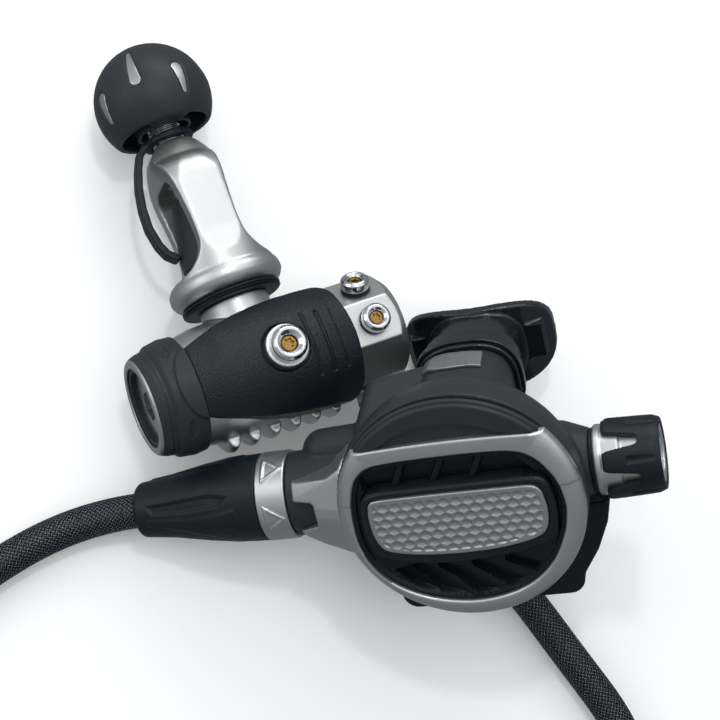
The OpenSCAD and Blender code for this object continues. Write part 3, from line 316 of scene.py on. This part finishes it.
def press(points, outline, radius, depth, edge):
    """Press a patch into a surface turned about z, or raise it with a negative depth.

    The outline gives millimetres along the axis and degrees from the front. Only what lies
    further out than the radius moves.
    """
    r = np.hypot(points[:, 0], points[:, 1])
    turn = np.degrees(np.arctan2(points[:, 1], -points[:, 0]))
    arc = math.radians(radius)
    inside, _, _ = edge_distance(points[:, 2], turn * arc, np.array(outline, float) * (1, arc))
    scale = 1 - np.where(r > radius, depth * step_up(inside, edge), 0) / np.maximum(r, 1)
    return points * np.stack([scale, scale, np.ones_like(scale)], 1)


def cad_copy(node, place):
    """A CAD node's form as a new mesh in the millimetres of place."""
    source = frame["nodes"][node]
    obj = bpy.data.objects.new(node + "_form", source.data.copy())
    bpy.context.scene.collection.objects.link(obj)
    obj.data.transform(place.inverted() @ source.matrix_world)
    return tidy_mesh(obj, 1e-3)


def finish_piece(obj, place, body, slot, node=None, look=None, sharp=40):
    """Place and shade a piece, give it its finish, and let it ride in its node's place."""
    obj.data.transform(place)
    obj.data.materials.clear()
    obj.data.materials.append(look or LOOKS[slot])
    obj.data.shade_smooth()
    if sharp:
        obj.data.set_sharp_from_angle(angle=math.radians(sharp))
    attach(obj, body)
    if node:
        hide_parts(node)
    return obj


def rounded(outline, radius, steps=3):
    """Closed outline with its corners rounded, and points that hold its straight runs flat."""
    p = np.array(outline, float)
    out = []
    for a, b, c in zip(np.roll(p, 1, 0), p, np.roll(p, -1, 0)):
        before, after = np.linalg.norm(a - b), np.linalg.norm(c - b)
        cut = min(radius, 0.4 * before, 0.4 * after)
        if cut < 1e-4:
            out.append(b)
            continue
        back, ahead = (a - b) / before, (c - b) / after
        out.append(b + back * min(cut * 1.4, 0.46 * before))
        for s in np.linspace(0, 1, steps + 1):
            out.append(b + back * cut * (1 - s) ** 2 + ahead * cut * s * s)
        out.append(b + ahead * min(cut * 1.4, 0.46 * after))
    return np.array(out)


def curve_through(points, count=240):
    """Closed smooth outline through a few points."""
    p = np.array(points, float)
    t = np.linspace(0, len(p), count, endpoint=False)
    i = t.astype(int)
    s = (t - i)[:, None]
    a, b, c, d = (p[(i + k) % len(p)] for k in (-1, 0, 1, 2))
    return 0.5 * (2 * b + (c - a) * s + (2 * a - 5 * b + 4 * c - d) * s ** 2
                  + (3 * b - a - 3 * c + d) * s ** 3)


def lathe(name, profile, radius=0.3, steps=96, shape=None, longest=None):
    """Piece turned about z from a closed (r, z) outline; shape(angle, r, z) may change r."""
    p = rounded(profile, radius)
    p[:, 0] = np.where(p[:, 0] < 0.02, 0, p[:, 0])
    if longest:
        ends = np.roll(p, -1, 0)
        p = np.concatenate([a + (b - a) * np.linspace(0, 1, max(1, math.ceil(
            np.linalg.norm(b - a) / longest)), endpoint=False)[:, None] for a, b in zip(p, ends)])
    angle = np.arange(steps) * 2 * np.pi / steps
    r, z = (np.repeat(p[:, k:k + 1], steps, 1) for k in (0, 1))
    if shape:
        r = shape(angle[None], r, z)
    points = np.stack([r * np.cos(angle), r * np.sin(angle), z], -1).reshape(-1, 3)
    n = len(p)
    faces = [(i * steps + j, i * steps + (j + 1) % steps, (i + 1) % n * steps + (j + 1) % steps,
              (i + 1) % n * steps + j) for i in range(n) for j in range(steps)
             if p[i, 0] or p[(i + 1) % n, 0]]
    return tidy_mesh(mesh_object(name, points, faces))


def edge_distance(x, y, outline):
    """Distance inside a closed outline, negative outside, and the nearest point on it."""
    best = np.full(x.shape, 1e9)
    near_x, near_y = np.zeros(x.shape), np.zeros(x.shape)
    inside = np.zeros(x.shape, bool)
    for (ax, ay), (bx, by) in zip(outline, np.roll(outline, -1, 0)):
        dx, dy = bx - ax, by - ay
        share = np.clip(((x - ax) * dx + (y - ay) * dy) / (dx * dx + dy * dy + 1e-12), 0, 1)
        px, py = ax + share * dx, ay + share * dy
        gap = (x - px) ** 2 + (y - py) ** 2
        closer = gap < best
        best = np.where(closer, gap, best)
        near_x, near_y = np.where(closer, px, near_x), np.where(closer, py, near_y)
        if dy:
            inside ^= ((ay > y) != (by > y)) & (x < ax + (y - ay) * dx / dy)
    return np.where(inside, 1, -1) * np.sqrt(best), near_x, near_y


def step_up(value, width):
    """0 below zero, 1 above width, smooth between."""
    s = np.clip(value / width, 0, 1)
    return s * s * (3 - 2 * s)


def relief(name, outline, height, bottom, pitch):
    """Slab over an outline whose top face follows height(x, y, distance inside the outline)."""
    edge = np.array(outline, float)
    low, high = edge.min(0) - 2 * pitch, edge.max(0) + 2 * pitch
    x, y = np.meshgrid(np.arange(low[0], high[0], pitch), np.arange(low[1], high[1], pitch),
                       indexing="ij")
    inside, near_x, near_y = edge_distance(x, y, edge)
    snap = np.abs(inside) < 0.7 * pitch
    x, y = np.where(snap, near_x, x), np.where(snap, near_y, y)
    inside = np.where(snap, 0, inside)
    z = height(x, y, inside)
    keep = inside >= 0
    number = np.full(keep.shape, -1)
    number[keep] = np.arange(keep.sum())
    corners = np.stack([number[:-1, :-1], number[1:, :-1], number[1:, 1:], number[:-1, 1:]], -1)
    faces = []
    for cell in corners.reshape(-1, 4):
        kept = [int(c) for c in cell if c >= 0]
        if len(kept) > 2:
            faces.append(kept)
    obj = mesh_object(name, np.stack([x[keep], y[keep], z[keep]], -1), faces)
    bm = bmesh.new()
    bm.from_mesh(obj.data)
    bmesh.ops.remove_doubles(bm, verts=bm.verts, dist=pitch * 0.05)
    rim = [e for e in bm.edges if e.is_boundary]
    made = bmesh.ops.extrude_edge_only(bm, edges=rim)["geom"]
    for vert in (g for g in made if isinstance(g, bmesh.types.BMVert)):
        vert.co.z = bottom
    bmesh.ops.recalc_face_normals(bm, faces=bm.faces)
    bm.to_mesh(obj.data)
    bm.free()
    return obj


def hoop(name, inner, outer, section, shape=None, steps=720):
    """Ring between two outlines; the section lists (share from inner to outer, offset, z)."""
    angle = np.linspace(-np.pi, np.pi, steps, endpoint=False)

    def reach(outline):
        turn = np.arctan2(outline[:, 1], outline[:, 0])
        order = np.argsort(turn)
        return np.interp(angle, turn[order], np.hypot(*outline.T)[order], period=2 * np.pi)
    near, far = reach(np.array(inner, float)), reach(np.array(outer, float))
    rings = []
    for share, offset, z in section:
        r = near + (far - near) * share + offset
        x, y = r * np.cos(angle), r * np.sin(angle)
        rings.append(np.stack([x, y, shape(x, y, z) if shape else np.full(steps, z)], -1))
    n = len(rings)
    faces = [(i * steps + j, i * steps + (j + 1) % steps, (i + 1) % n * steps + (j + 1) % steps,
              (i + 1) % n * steps + j) for i in range(n) for j in range(steps)]
    return tidy_mesh(mesh_object(name, np.concatenate(rings), faces), 1e-5)


# ----------------------------------------------------------------------- hose
HOSE_D = 13
HOSE_PATH = [
    (11.3, -31.7, 14.1), (15.6, -43.6, 11.2), (21, -54.3, 9), (28, -63.3, 7.5),
    (36.3, -70.8, 6.7), (46.4, -79, 6.6), (57.5, -89, 6.6), (68.4, -101.2, 6.6),
    (79.2, -115.2, 6.6), (90.5, -130, 6.6), (101, -144.6, 6.6), (109, -162, 6.6),
    (113, -181, 6.6), (111.5, -201, 6.6), (105, -219, 6.6), (94, -235.5, 6.6), (79, -248, 6.6),
    (61, -256.5, 6.6), (38, -260.5, 6.6), (14, -261.5, 6.6), (-10, -261.5, 6.6),
    (-34, -260.5, 6.6), (-59, -259, 6.6), (-84, -257, 6.6), (-107, -252.5, 6.6),
    (-128.5, -243.5, 6.6), (-147, -229, 6.6), (-161, -210.5, 6.6), (-170, -189, 6.6),
    (-173, -166, 6.6), (-170, -143, 6.6), (-161.5, -121, 6.6), (-148, -102.5, 6.6),
    (-131.3, -89.2, 6.6), (-117, -80.5, 6.6), (-102.5, -74.1, 6.8), (-87.8, -70.1, 9),
    (-74.4, -68.3, 13.6), (-58.5, -67, 20.7), (-43.9, -65.7, 27.2),
]


def smooth_path(points, step):
    """Evenly spaced points on the natural cubic spline through points."""
    p = np.array(points, float)
    t = np.concatenate([[0], np.cumsum(np.linalg.norm(np.diff(p, axis=0), axis=1))])
    h = np.diff(t)
    system = np.eye(len(p))
    right = np.zeros_like(p)
    for i in range(1, len(p) - 1):
        system[i, i - 1:i + 2] = h[i - 1], 2 * (h[i - 1] + h[i]), h[i]
        right[i] = 6 * ((p[i + 1] - p[i]) / h[i] - (p[i] - p[i - 1]) / h[i - 1])
    curve = np.linalg.solve(system, right)
    u = np.linspace(0, t[-1], int(t[-1] / step) + 1)
    i = np.clip(np.searchsorted(t, u, side="right") - 1, 0, len(h) - 1)
    a, b = ((t[i + 1] - u) / h[i])[:, None], ((u - t[i]) / h[i])[:, None]
    k = (h[i] ** 2 / 6)[:, None]
    return a * p[i] + b * p[i + 1] + ((a ** 3 - a) * curve[i] + (b ** 3 - b) * curve[i + 1]) * k


def make_hose():
    """Tube along the route, its surface woven from two sets of crossing strands."""
    sides, step, swell = 96, 0.45, 0.45
    line = smooth_path(HOSE_PATH, step)
    ahead = np.gradient(line, axis=0)
    ahead /= np.linalg.norm(ahead, axis=1)[:, None]
    side = np.cross(ahead, (0, 0, 1))
    side /= np.linalg.norm(side, axis=1)[:, None]
    top = np.cross(side, ahead)
    turn = np.arange(sides) / sides
    angle = 2 * np.pi * turn
    along = np.concatenate([[0], np.cumsum(np.linalg.norm(np.diff(line, axis=0), axis=1))])
    first, second = (turn[None] * STRANDS + way * along[:, None] * WEAVE_PITCH for way in (1, -1))
    first, second = np.sin(np.pi * first), np.sin(np.pi * second)
    lift = 0.25 * np.sign(first * second)
    ridge = np.maximum(np.abs(first) * (0.75 + lift), np.abs(second) * (0.75 - lift))
    radius = HOSE_D / 2 - swell * (1 - ridge)
    points = (line[:, None] + radius[..., None] * (np.cos(angle)[None, :, None] * side[:, None]
                                                   + np.sin(angle)[None, :, None] * top[:, None]))
    rings = len(line)
    faces = [(i * sides + j, i * sides + (j + 1) % sides, (i + 1) * sides + (j + 1) % sides,
              (i + 1) * sides + j) for i in range(rings - 1) for j in range(sides)]
    faces.append(tuple(range(sides - 1, -1, -1)))
    faces.append(tuple((rings - 1) * sides + j for j in range(sides)))
    obj = mesh_object("braided_hose", points.reshape(-1, 3), faces)
    ring, spoke = np.divmod(np.arange((rings - 1) * sides), sides)
    uv = np.zeros((len(obj.data.loops), 2))
    uv[:4 * len(ring), 0] = (np.stack([spoke, spoke + 1, spoke + 1, spoke], 1) / sides).ravel()
    uv[:4 * len(ring), 1] = along[np.stack([ring, ring, ring + 1, ring + 1], 1)].ravel()
    obj.data.uv_layers.new(name="UVMap").data.foreach_set("uv", uv.ravel())
    finish_piece(obj, Matrix.Scale(MM, 4), "set", "braid", "hose", sharp=0)
    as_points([tuple(p * MM) for p in line[::8]] + [tuple(line[-1] * MM)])


make_hose()


# ------------------------------------------------------- finish of kept nodes
for part in frame["record"]["subparts"]:
    kept = frame["nodes"][part["node"]].data
    kept.materials.clear()
    kept.materials.append(LOOKS[part["material_slot"]])
    kept.shade_smooth()
    kept.set_sharp_from_angle(angle=math.radians(30))


# ---------------------------------------------------------------- first stage
def cast_piece(node, place, voxel, rounds, body, slot, look=None, cutters=(), shape=None):
    """The CAD form with every edge rounded as a casting's or a moulding's, then shaped."""
    obj = cad_copy(node, place)
    for cutter in cutters:
        carve(obj, cutter)
    obj.name = node + "_cast"
    soften(obj, voxel, rounds)
    if shape:
        reshape(obj, shape)
    return finish_piece(obj, place, body, slot, node, look, 60)


def make_yoke():
    cast_piece("yoke", FIRST, 0.5, 9, "set", "satin_metal")
    washer = lathe("yoke_washer_turned", [(12.2, 26.7), (18.6, 26.7), (19.4, 27.4), (18.7, 27.8),
                                          (19.4, 28.2), (19.4, 28.9), (12.2, 28.9)], 0.25)
    finish_piece(washer, YOKE_AXIS, "set", "black_moulding", "yoke_washer")


SCREW_PITCH = 1.6                     # mm that the screw advances in a turn


def make_screw():
    """Screw with its helical thread, the ball knob with its inlays, and the dust cap."""
    def thread(angle, r, z):
        turn = (z / SCREW_PITCH - angle / (2 * np.pi)) % 1
        depth = 0.75 * np.clip(1.25 - np.abs(turn - 0.5) * 4, 0, 1)
        fade = step_up(z - 78.5, 1.0) * step_up(111 - z, 1.0)
        return np.where(r > 6.2, r - depth * fade, r)
    screw = lathe("yoke_screw_thread", [(0, 73.6), (3, 73.6), (3, 77), (5, 77), (6.4, 78.6),
                                        (6.4, 116.9), (0, 116.9)], 0.2, 128, thread, 0.11)
    finish_piece(screw, YOKE_AXIS, "yoke_screw", "chrome", "yoke_screw", sharp=0)
    cast_piece("dust_cap", FIRST, 0.45, 3, "set", "charcoal_moulding")
    cast_piece("dust_cap_strap", FIRST, 0.35, 3, "set", "rubber")
    cast_piece("yoke_knob", FIRST, 0.5, 4, "yoke_screw", "charcoal_moulding")
    cast_piece("knob_inlays", FIRST, 0.25, 3, "yoke_screw", "satin_metal", LOOKS["plate_metal"])


FIN_ROOT, FIN_GROWTH = 22.8, 1.8      # radius that the fins stand on, times the CAD's height


def make_first_body():
    def deeper_fins(points):
        """Fins stand out further from the barrel under the cover than in the CAD."""
        r = np.hypot(points[:, 1], points[:, 2])
        fin = (r > FIN_ROOT) & (points[:, 1] < -12) & (np.abs(points[:, 0]) < 27)
        scale = np.where(fin, (FIN_ROOT + (r - FIN_ROOT) * FIN_GROWTH) / np.maximum(r, 1), 1)
        return points * np.stack([np.ones_like(scale), scale, scale], 1)
    cast_piece("first_stage_body", FIRST, 0.4, 3, "set", "satin_metal", shape=deeper_fins)


def make_cover():
    cast_piece("body_cover", FIRST, 0.28, 2, "set", "black_moulding", PEBBLED)


CAP_DIMPLES = [[(-34.6, 53), (-33.9, 37), (-36, 29), (-37.4, 36), (-37, 46)],
               [(-34.6, -33), (-33.9, -50), (-36, -60), (-37.4, -51), (-37, -40)]]


def make_end_cap():
    def dimples(points):
        for turn in (0, 180):
            for outline in CAP_DIMPLES:
                moved = [(x, (angle + turn + 180) % 360 - 180) for x, angle in outline]
                points = press(points, moved, 19, 0.7, 0.8)
        return points
    rings = []
    for x, floor_r in ((-43.2, 18.5), (-42.2, 18.7), (-39.8, 20.4)):
        rings.append(lathe("groove", [(floor_r, x), (22, x - 0.6), (22, x + 0.6)], 0, 128))
    cast_piece("diaphragm_end_cap", BODY_AXIS, 0.3, 1, "set", "black_moulding",
               LOOKS["charcoal_moulding"], rings, dimples)
    trim = lathe("cap_trim_turned", [(15.2, -46.9), (17.5, -46.9), (18.4, -46.0), (15.2, -46.1)],
                 0.3, 128)
    finish_piece(trim, BODY_AXIS, "set", "chrome", "cap_trim_ring", LOOKS["satin_metal"])


def six_lobe_insert(name, radius, low, high, lobe, place, node=None):
    """Brass plug insert with a six-lobed driver hole."""
    def lobes(angle, r, z):
        inner = (r > 0.1) & (r < lobe + 0.2)
        return np.where(inner, r * (1 + 0.2 * np.cos(6 * angle)), r)
    obj = lathe(name, [(0, low), (radius, low), (radius, high), (lobe, high), (lobe, low + 0.5),
                       (0, low + 0.5)], 0.12, 96, lobes)
    return finish_piece(obj, place, "set", "brass", node)


HIGH_PORT = (4.5, 0, 28.7)            # seat of the high-pressure plug's head
LOW_PORT_TURNS = (0, 45)              # degrees from z towards y
LOW_PORT_X, LOW_PORT_OUT = 42, 21.3   # place along the body, distance from its axis


def make_plugs():
    head = FIRST @ Matrix.Translation(HIGH_PORT)
    plug = lathe("high_plug_turned", [(0, -8), (5.5, -8), (5.5, 0), (6.7, 0), (6.7, 3.3), (5.6, 4.6),
                                      (4.6, 4.6), (3, 3.2), (3, 0.6), (0, 0.6)], 0.4)
    finish_piece(plug, head, "set", "chrome", "high_pressure_plug")
    six_lobe_insert("high_insert", 2.7, 0.55, 2.3, 1.7, head, "high_pressure_insert")
    for i, angle in enumerate(LOW_PORT_TURNS):
        place = port_place(angle, LOW_PORT_X, LOW_PORT_OUT)
        plug = lathe("low_plug_%d" % i, [(0, -7), (4.6, -7), (4.6, 0), (5.4, 0), (5.4, 3), (4.4, 4),
                                         (3.6, 4), (2.5, 3), (2.5, 1), (0, 1)], 0.35)
        finish_piece(plug, place, "set", "chrome", "low_pressure_plugs" if i == 0 else None)
        six_lobe_insert("low_insert_%d" % i, 2.3, 0.95, 2.4, 1.45, place)


make_yoke()
make_screw()
make_first_body()
make_cover()
make_end_cap()
make_plugs()


# --------------------------------------------------------------- second stage
CASE_R, FLAT_R = 43.5, 39.2           # the cover's rim, and where its flat face ends
FACE_Z, FACE_FALL = 3.35, 2.7         # height of the flat face, and how far the rim lies below it
OPENING = curve_through([
    (36.1, 0), (34.8, 8), (32, 13.7), (29, 17.6), (25, 20.4), (19, 21.8), (8, 22.3), (-10, 22.3),
    (-22, 21.9), (-28.5, 20.8), (-32.8, 17.6), (-35.4, 12.8), (-37.2, 6), (-37.9, -2), (-37.6, -10),
    (-35, -18.4), (-29.5, -25.8), (-21, -31.6), (-10.6, -35.2), (0.5, -36.3), (11.5, -34.6),
    (21, -30.2), (28.8, -22.6), (33.8, -12.8), (35.8, -5)], 360)
PLATE = curve_through([
    (-31.2, 5), (-31.5, 0), (-30.8, -6), (-28.6, -10.4), (-24, -12.4), (-16, -13.9), (-5, -14.7),
    (8, -14.5), (18, -13.3), (25.5, -11.3), (29, -8.4), (30.4, -3), (30.3, 2), (29.3, 6.6), (26, 8.8),
    (16, 9.1), (0, 9.3), (-16, 9.3), (-27, 9.1), (-30.2, 8)], 300)
BORDER = curve_through([
    (-34.4, 2), (-34.2, -6), (-32.6, -12), (-28, -15.6), (-18, -18.2), (-6, -19.3), (8, -18.8),
    (18, -17.5), (28, -15), (32, -10.8), (33.2, -3), (32.8, 4), (31, 9.6), (26, 11.4), (10, 11.7),
    (-14, 11.7), (-28, 11.4), (-33, 8.6)], 300)


def front_dome(x, y):
    """Height of the cover's face: flat, then falling to its rim."""
    r = np.hypot(x, y)
    return FACE_Z - FACE_FALL * np.clip((r - FLAT_R) / (CASE_R - FLAT_R), 0, 1) ** 1.8


def make_bezel():
    turn = np.linspace(0, 2 * np.pi, 720, endpoint=False)
    x, y = 43.2 * np.cos(turn), 43.2 * np.sin(turn)
    flat = 28.2 - x * x / 900
    outer = np.stack([x, np.minimum(y, flat)], -1)

    def shape(px, py, z):
        raised = 0.45 * step_up(py - (4.5 + 0.05 * np.abs(px)), 0.6)
        return np.where(z > 0, front_dome(px, py) + raised + (z - 3), z)
    section = [(0, 0, -1), (0, 0, 1.9), (0, 0.25, 2.7), (0, 0.7, 2.97), (0, 1.0, 3.0), (0.5, 0, 3.0),
               (1, -1.2, 3.0), (1, -0.8, 2.97), (1, -0.3, 2.75), (1, 0, 2.2), (1, 0, -1)]
    obj = hoop("bezel_ring", OPENING, outer, section, shape, 1440)
    finish_piece(obj, SECOND, "set", "satin_metal", "front_bezel", sharp=50)


def make_crescent():
    arc = [(43 * math.cos(t), 43 * math.sin(t)) for t in np.radians(np.linspace(41.5, 138.5, 80))]
    low = [(x, 28.35 - x * x / 900) for x in np.linspace(-32, 32, 60)]
    arch = np.array([(-27, 26), (-20.5, 29.9), (-13.8, 33.2), (-4.9, 34.6), (4.9, 34.2), (12.3, 31.9),
                     (17.1, 29.5), (20.7, 28.4), (21, 24), (-27, 24)], float)

    def height(x, y, inside):
        recess, _, _ = edge_distance(x, y, arch)
        r = np.hypot(x, y)
        top = np.minimum(front_dome(x, y) - 0.1, 2.9) - 0.5 * step_up(0.6 - np.abs(r - 41.6), 0.6)
        sunk = 1.5 * step_up(recess, 0.5) * step_up(36 - y + recess, 6)
        return top - sunk - 0.25 * step_up(0.3 - inside, 0.3)
    obj = relief("crescent_shell", arc + low, height, 1.0, 0.3)
    finish_piece(obj, SECOND, "set", "charcoal_moulding", "bezel_crescent", sharp=50)


POCKETS = [
    [(-32.4, 17.5), (-18.4, 19.6), (-22.6, 10), (-33, 10)],
    [(-16.2, 19.7), (-4.2, 19.9), (-9.2, 10), (-20.4, 10)],
    [(-2.2, 19.9), (9.2, 19.8), (4.4, 10), (-7.2, 10)],
    [(11.2, 19.7), (22, 18.9), (28, 11.6), (27, 10), (6.4, 10)],
]
GILLS = [[(-32.5, -17), (-27, -22.6), (-21.5, -30)], [(-23, -21), (-17, -24.7), (-13.6, -33)],
         [(-12.5, -22.6), (-6.2, -25.9), (-1.6, -34)], [(-0.5, -23), (5.3, -26.4), (11, -33)],
         [(11.5, -22.5), (17, -25), (23, -29)]]


def make_grille():
    def height(x, y, inside):
        z = 0.8 + 1.1 * step_up(1.5 - inside, 0.5)
        for pocket in POCKETS:
            deep, _, _ = edge_distance(x, y, rounded(pocket, 0.8))
            z = z - 4.0 * step_up(deep, 0.7) * (0.75 + 0.25 * step_up(14 - y, 6))
        band = step_up(inside - 1.6, 0.6) * step_up(-18.5 - y - 0.004 * x * x, 0.8)
        slope = np.full(x.shape, 1e9)
        for gill in GILLS:
            a, b, c = (np.array(p, float) for p in gill)
            t = np.clip((a[1] - y) / (a[1] - c[1]), 0, 1)
            line = (1 - t) ** 2 * a[0] + 2 * t * (1 - t) * (2 * b[0] - (a[0] + c[0]) / 2) + t * t * c[0]
            gap = x - line
            slope = np.where(gap > 0, np.minimum(slope, gap), slope)
        slope = np.where(slope > 1e8, 10, slope)
        fall = 3.2 * (1 - np.clip(slope / 9.5, 0, 1)) * step_up(slope, 0.35)
        z = z - band * fall
        hole, _, _ = edge_distance(x, y, BORDER)
        return z - 5.0 * step_up(hole + 0.35, 0.3)
    obj = relief("grille_face", OPENING * 0.995, height, -3.4, 0.25)
    finish_piece(obj, SECOND, "set", "black_moulding", "front_grille", sharp=50)


def make_purge():
    def border(x, y, inside):
        plate, _, _ = edge_distance(x, y, PLATE)
        z = 4.7 - 1.0 * (1 - step_up(inside, 1.3)) ** 2
        return np.where(plate > -0.15, 3.9, z)
    obj = relief("purge_border", BORDER, border, -3.2, 0.3)
    finish_piece(obj, SECOND, "purge_button", "rubber", "purge_carrier", sharp=50)

    def dimples(x, y, inside):
        pitch_x, pitch_y = 4.3, 3.05
        best = np.full(x.shape, 1e9)
        for shift in (0, 1):
            row = np.round((y / pitch_y - shift) / 2) * 2 + shift
            column = np.round(x / pitch_x - 0.5 * shift) + 0.5 * shift
            dx, dy = x - column * pitch_x, y - row * pitch_y
            best = np.minimum(best, np.maximum(np.abs(dx) / 1.12, np.abs(dx) * 0.5 + np.abs(dy) * 0.93))
        bowl = np.clip(1 - best / 1.75, 0, 1)
        z = 5.85 - 0.62 * (1 - (1 - bowl) ** 2) * step_up(inside - 1.5, 0.4)
        return z - 0.35 * (1 - step_up(inside, 0.35)) ** 2
    obj = relief("purge_plate_face", PLATE, dimples, 3.45, 0.22)
    finish_piece(obj, SECOND, "purge_button", "plate_metal", "purge_plate", sharp=60)


def make_case():
    rings = []
    for z, r in ((-1.6, 42.9), (-3.0, 42.9), (-6.4, 43.0)):
        rings.append(lathe("groove", [(r, z), (45, z + 0.5), (45, z - 0.5)], 0, 128))
    cast_piece("second_stage_case", SECOND, 0.5, 5, "set", "black_moulding",
               LOOKS["charcoal_moulding"], cutters=rings)
    cast_piece("hose_side_fairing", SECOND, 0.45, 4, "set", "satin_metal")
    cast_piece("exhaust_tee", SECOND, 0.6, 5, "set", "black_moulding")
    cast_piece("mouthpiece", SECOND, 0.5, 6, "set", "silicone")
    cast_piece("mouthpiece_clamp", SECOND, 0.35, 3, "set", "black_moulding", LOOKS["silicone"])
    cast_piece("duct_plate", SECOND, 0.2, 3, "set", "satin_metal", LOOKS["plate_metal"])


SLEEVE_LEAF = [(-120, 37), (-104, 40), (-94.5, 43), (-84.3, 35), (-90, 20), (-105, 14), (-117.5, 14)]
SLEEVE_PAD = [(-120.5, 10), (-105, 9), (-92, 14), (-84, 20), (-81, -8), (-86.6, -40), (-103, -24),
              (-120, -9)]


def make_selector():
    def moulded(points):
        for turn in (0, 120, 240):
            for outline, depth in ((SLEEVE_LEAF, 0.9), (SLEEVE_PAD, -0.45)):
                near = [(x, angle + turn) for x, angle in outline]
                wrapped = near if max(a for _, a in near) <= 180 else [(x, a - 360) for x, a in near]
                points = press(points, wrapped, 9.5, depth, 1.2)
        return points
    cast_piece("selector_ring", VALVE, 0.3, 2, "selector", "satin_metal")
    cast_piece("selector_sleeve", VALVE, 0.4, 4, "selector", "rubber", shape=moulded)


def make_knob():
    cast_piece("knob_core", VALVE, 0.3, 2, "adjusting_knob", "satin_metal")
    cast_piece("knob_grip", VALVE, 0.3, 3, "adjusting_knob", "rubber")


make_bezel()
make_crescent()
make_grille()
make_purge()
make_case()
make_selector()
make_knob()


# ------------------------------------------------------------- floor and light
FLOOR_HALF = 12.0                     # metres from the middle to an edge
TENT_BRIGHTEST = (-0.42, 0.35, 0.84)  # direction in which the tent is brightest
TENT_STRENGTHS = {"From Min": 0.0, "From Max": 0.95, "To Min": 0.26, "To Max": 0.70}


def make_floor():
    corners = [(x * FLOOR_HALF, y * FLOOR_HALF, 0) for x, y in ((-1, -1), (1, -1), (1, 1), (-1, 1))]
    obj = mesh_object("floor", corners, [(0, 1, 2, 3)])
    n = Nodes("floor_white")
    n.surface(Base_Color=(0.93, 0.93, 0.93, 1), Roughness=0.75,
              Emission_Color=(1, 1, 1, 1), Emission_Strength=0.12)
    obj.data.materials.append(n.material)
    obj.visible_glossy = False


def area_light(name, place, target, size, power):
    data = bpy.data.lights.new(name, "AREA")
    data.shape = "RECTANGLE"
    data.size, data.size_y = size
    data.energy = power
    obj = bpy.data.objects.new(name, data)
    bpy.context.scene.collection.objects.link(obj)
    away = Vector(place) - Vector(target)
    obj.matrix_world = Matrix.Translation(place) @ away.to_track_quat("Z", "Y").to_matrix().to_4x4()


def make_light():
    """White tent that brightens towards the upper left, three softboxes and a small key lamp."""
    world = bpy.data.worlds.new("studio")
    bpy.context.scene.world = world
    world.use_nodes = True
    tree = world.node_tree
    height = tree.nodes.new("ShaderNodeVectorMath")
    height.operation = "DOT_PRODUCT"
    height.inputs[1].default_value = TENT_BRIGHTEST
    tree.links.new(tree.nodes.new("ShaderNodeTexCoord").outputs["Generated"], height.inputs[0])
    tent = tree.nodes.new("ShaderNodeMapRange")
    for key, value in TENT_STRENGTHS.items():
        tent.inputs[key].default_value = value
    tree.links.new(height.outputs["Value"], tent.inputs["Value"])
    tree.links.new(tent.outputs["Result"], tree.nodes["Background"].inputs["Strength"])
    tree.nodes["Background"].inputs["Color"].default_value = (0.93, 0.975, 1, 1)
    area_light("top_softbox", (0.28, 0.2, 0.85), (0, -0.1, 0), (1.4, 1.1), 3.3)
    area_light("key_lamp", (-0.05, 0.3, 0.9), (0, -0.1, 0), (0.07, 0.07), 1.2)
    area_light("left_softbox", (-0.7, 0.1, 0.5), (0, -0.05, 0), (0.5, 0.5), 1.2)
    area_light("back_softbox", (0.1, 0.75, 0.45), (0, -0.05, 0), (0.8, 0.35), 3)
    bpy.context.scene.view_settings.view_transform = "Standard"


make_floor()
make_light()
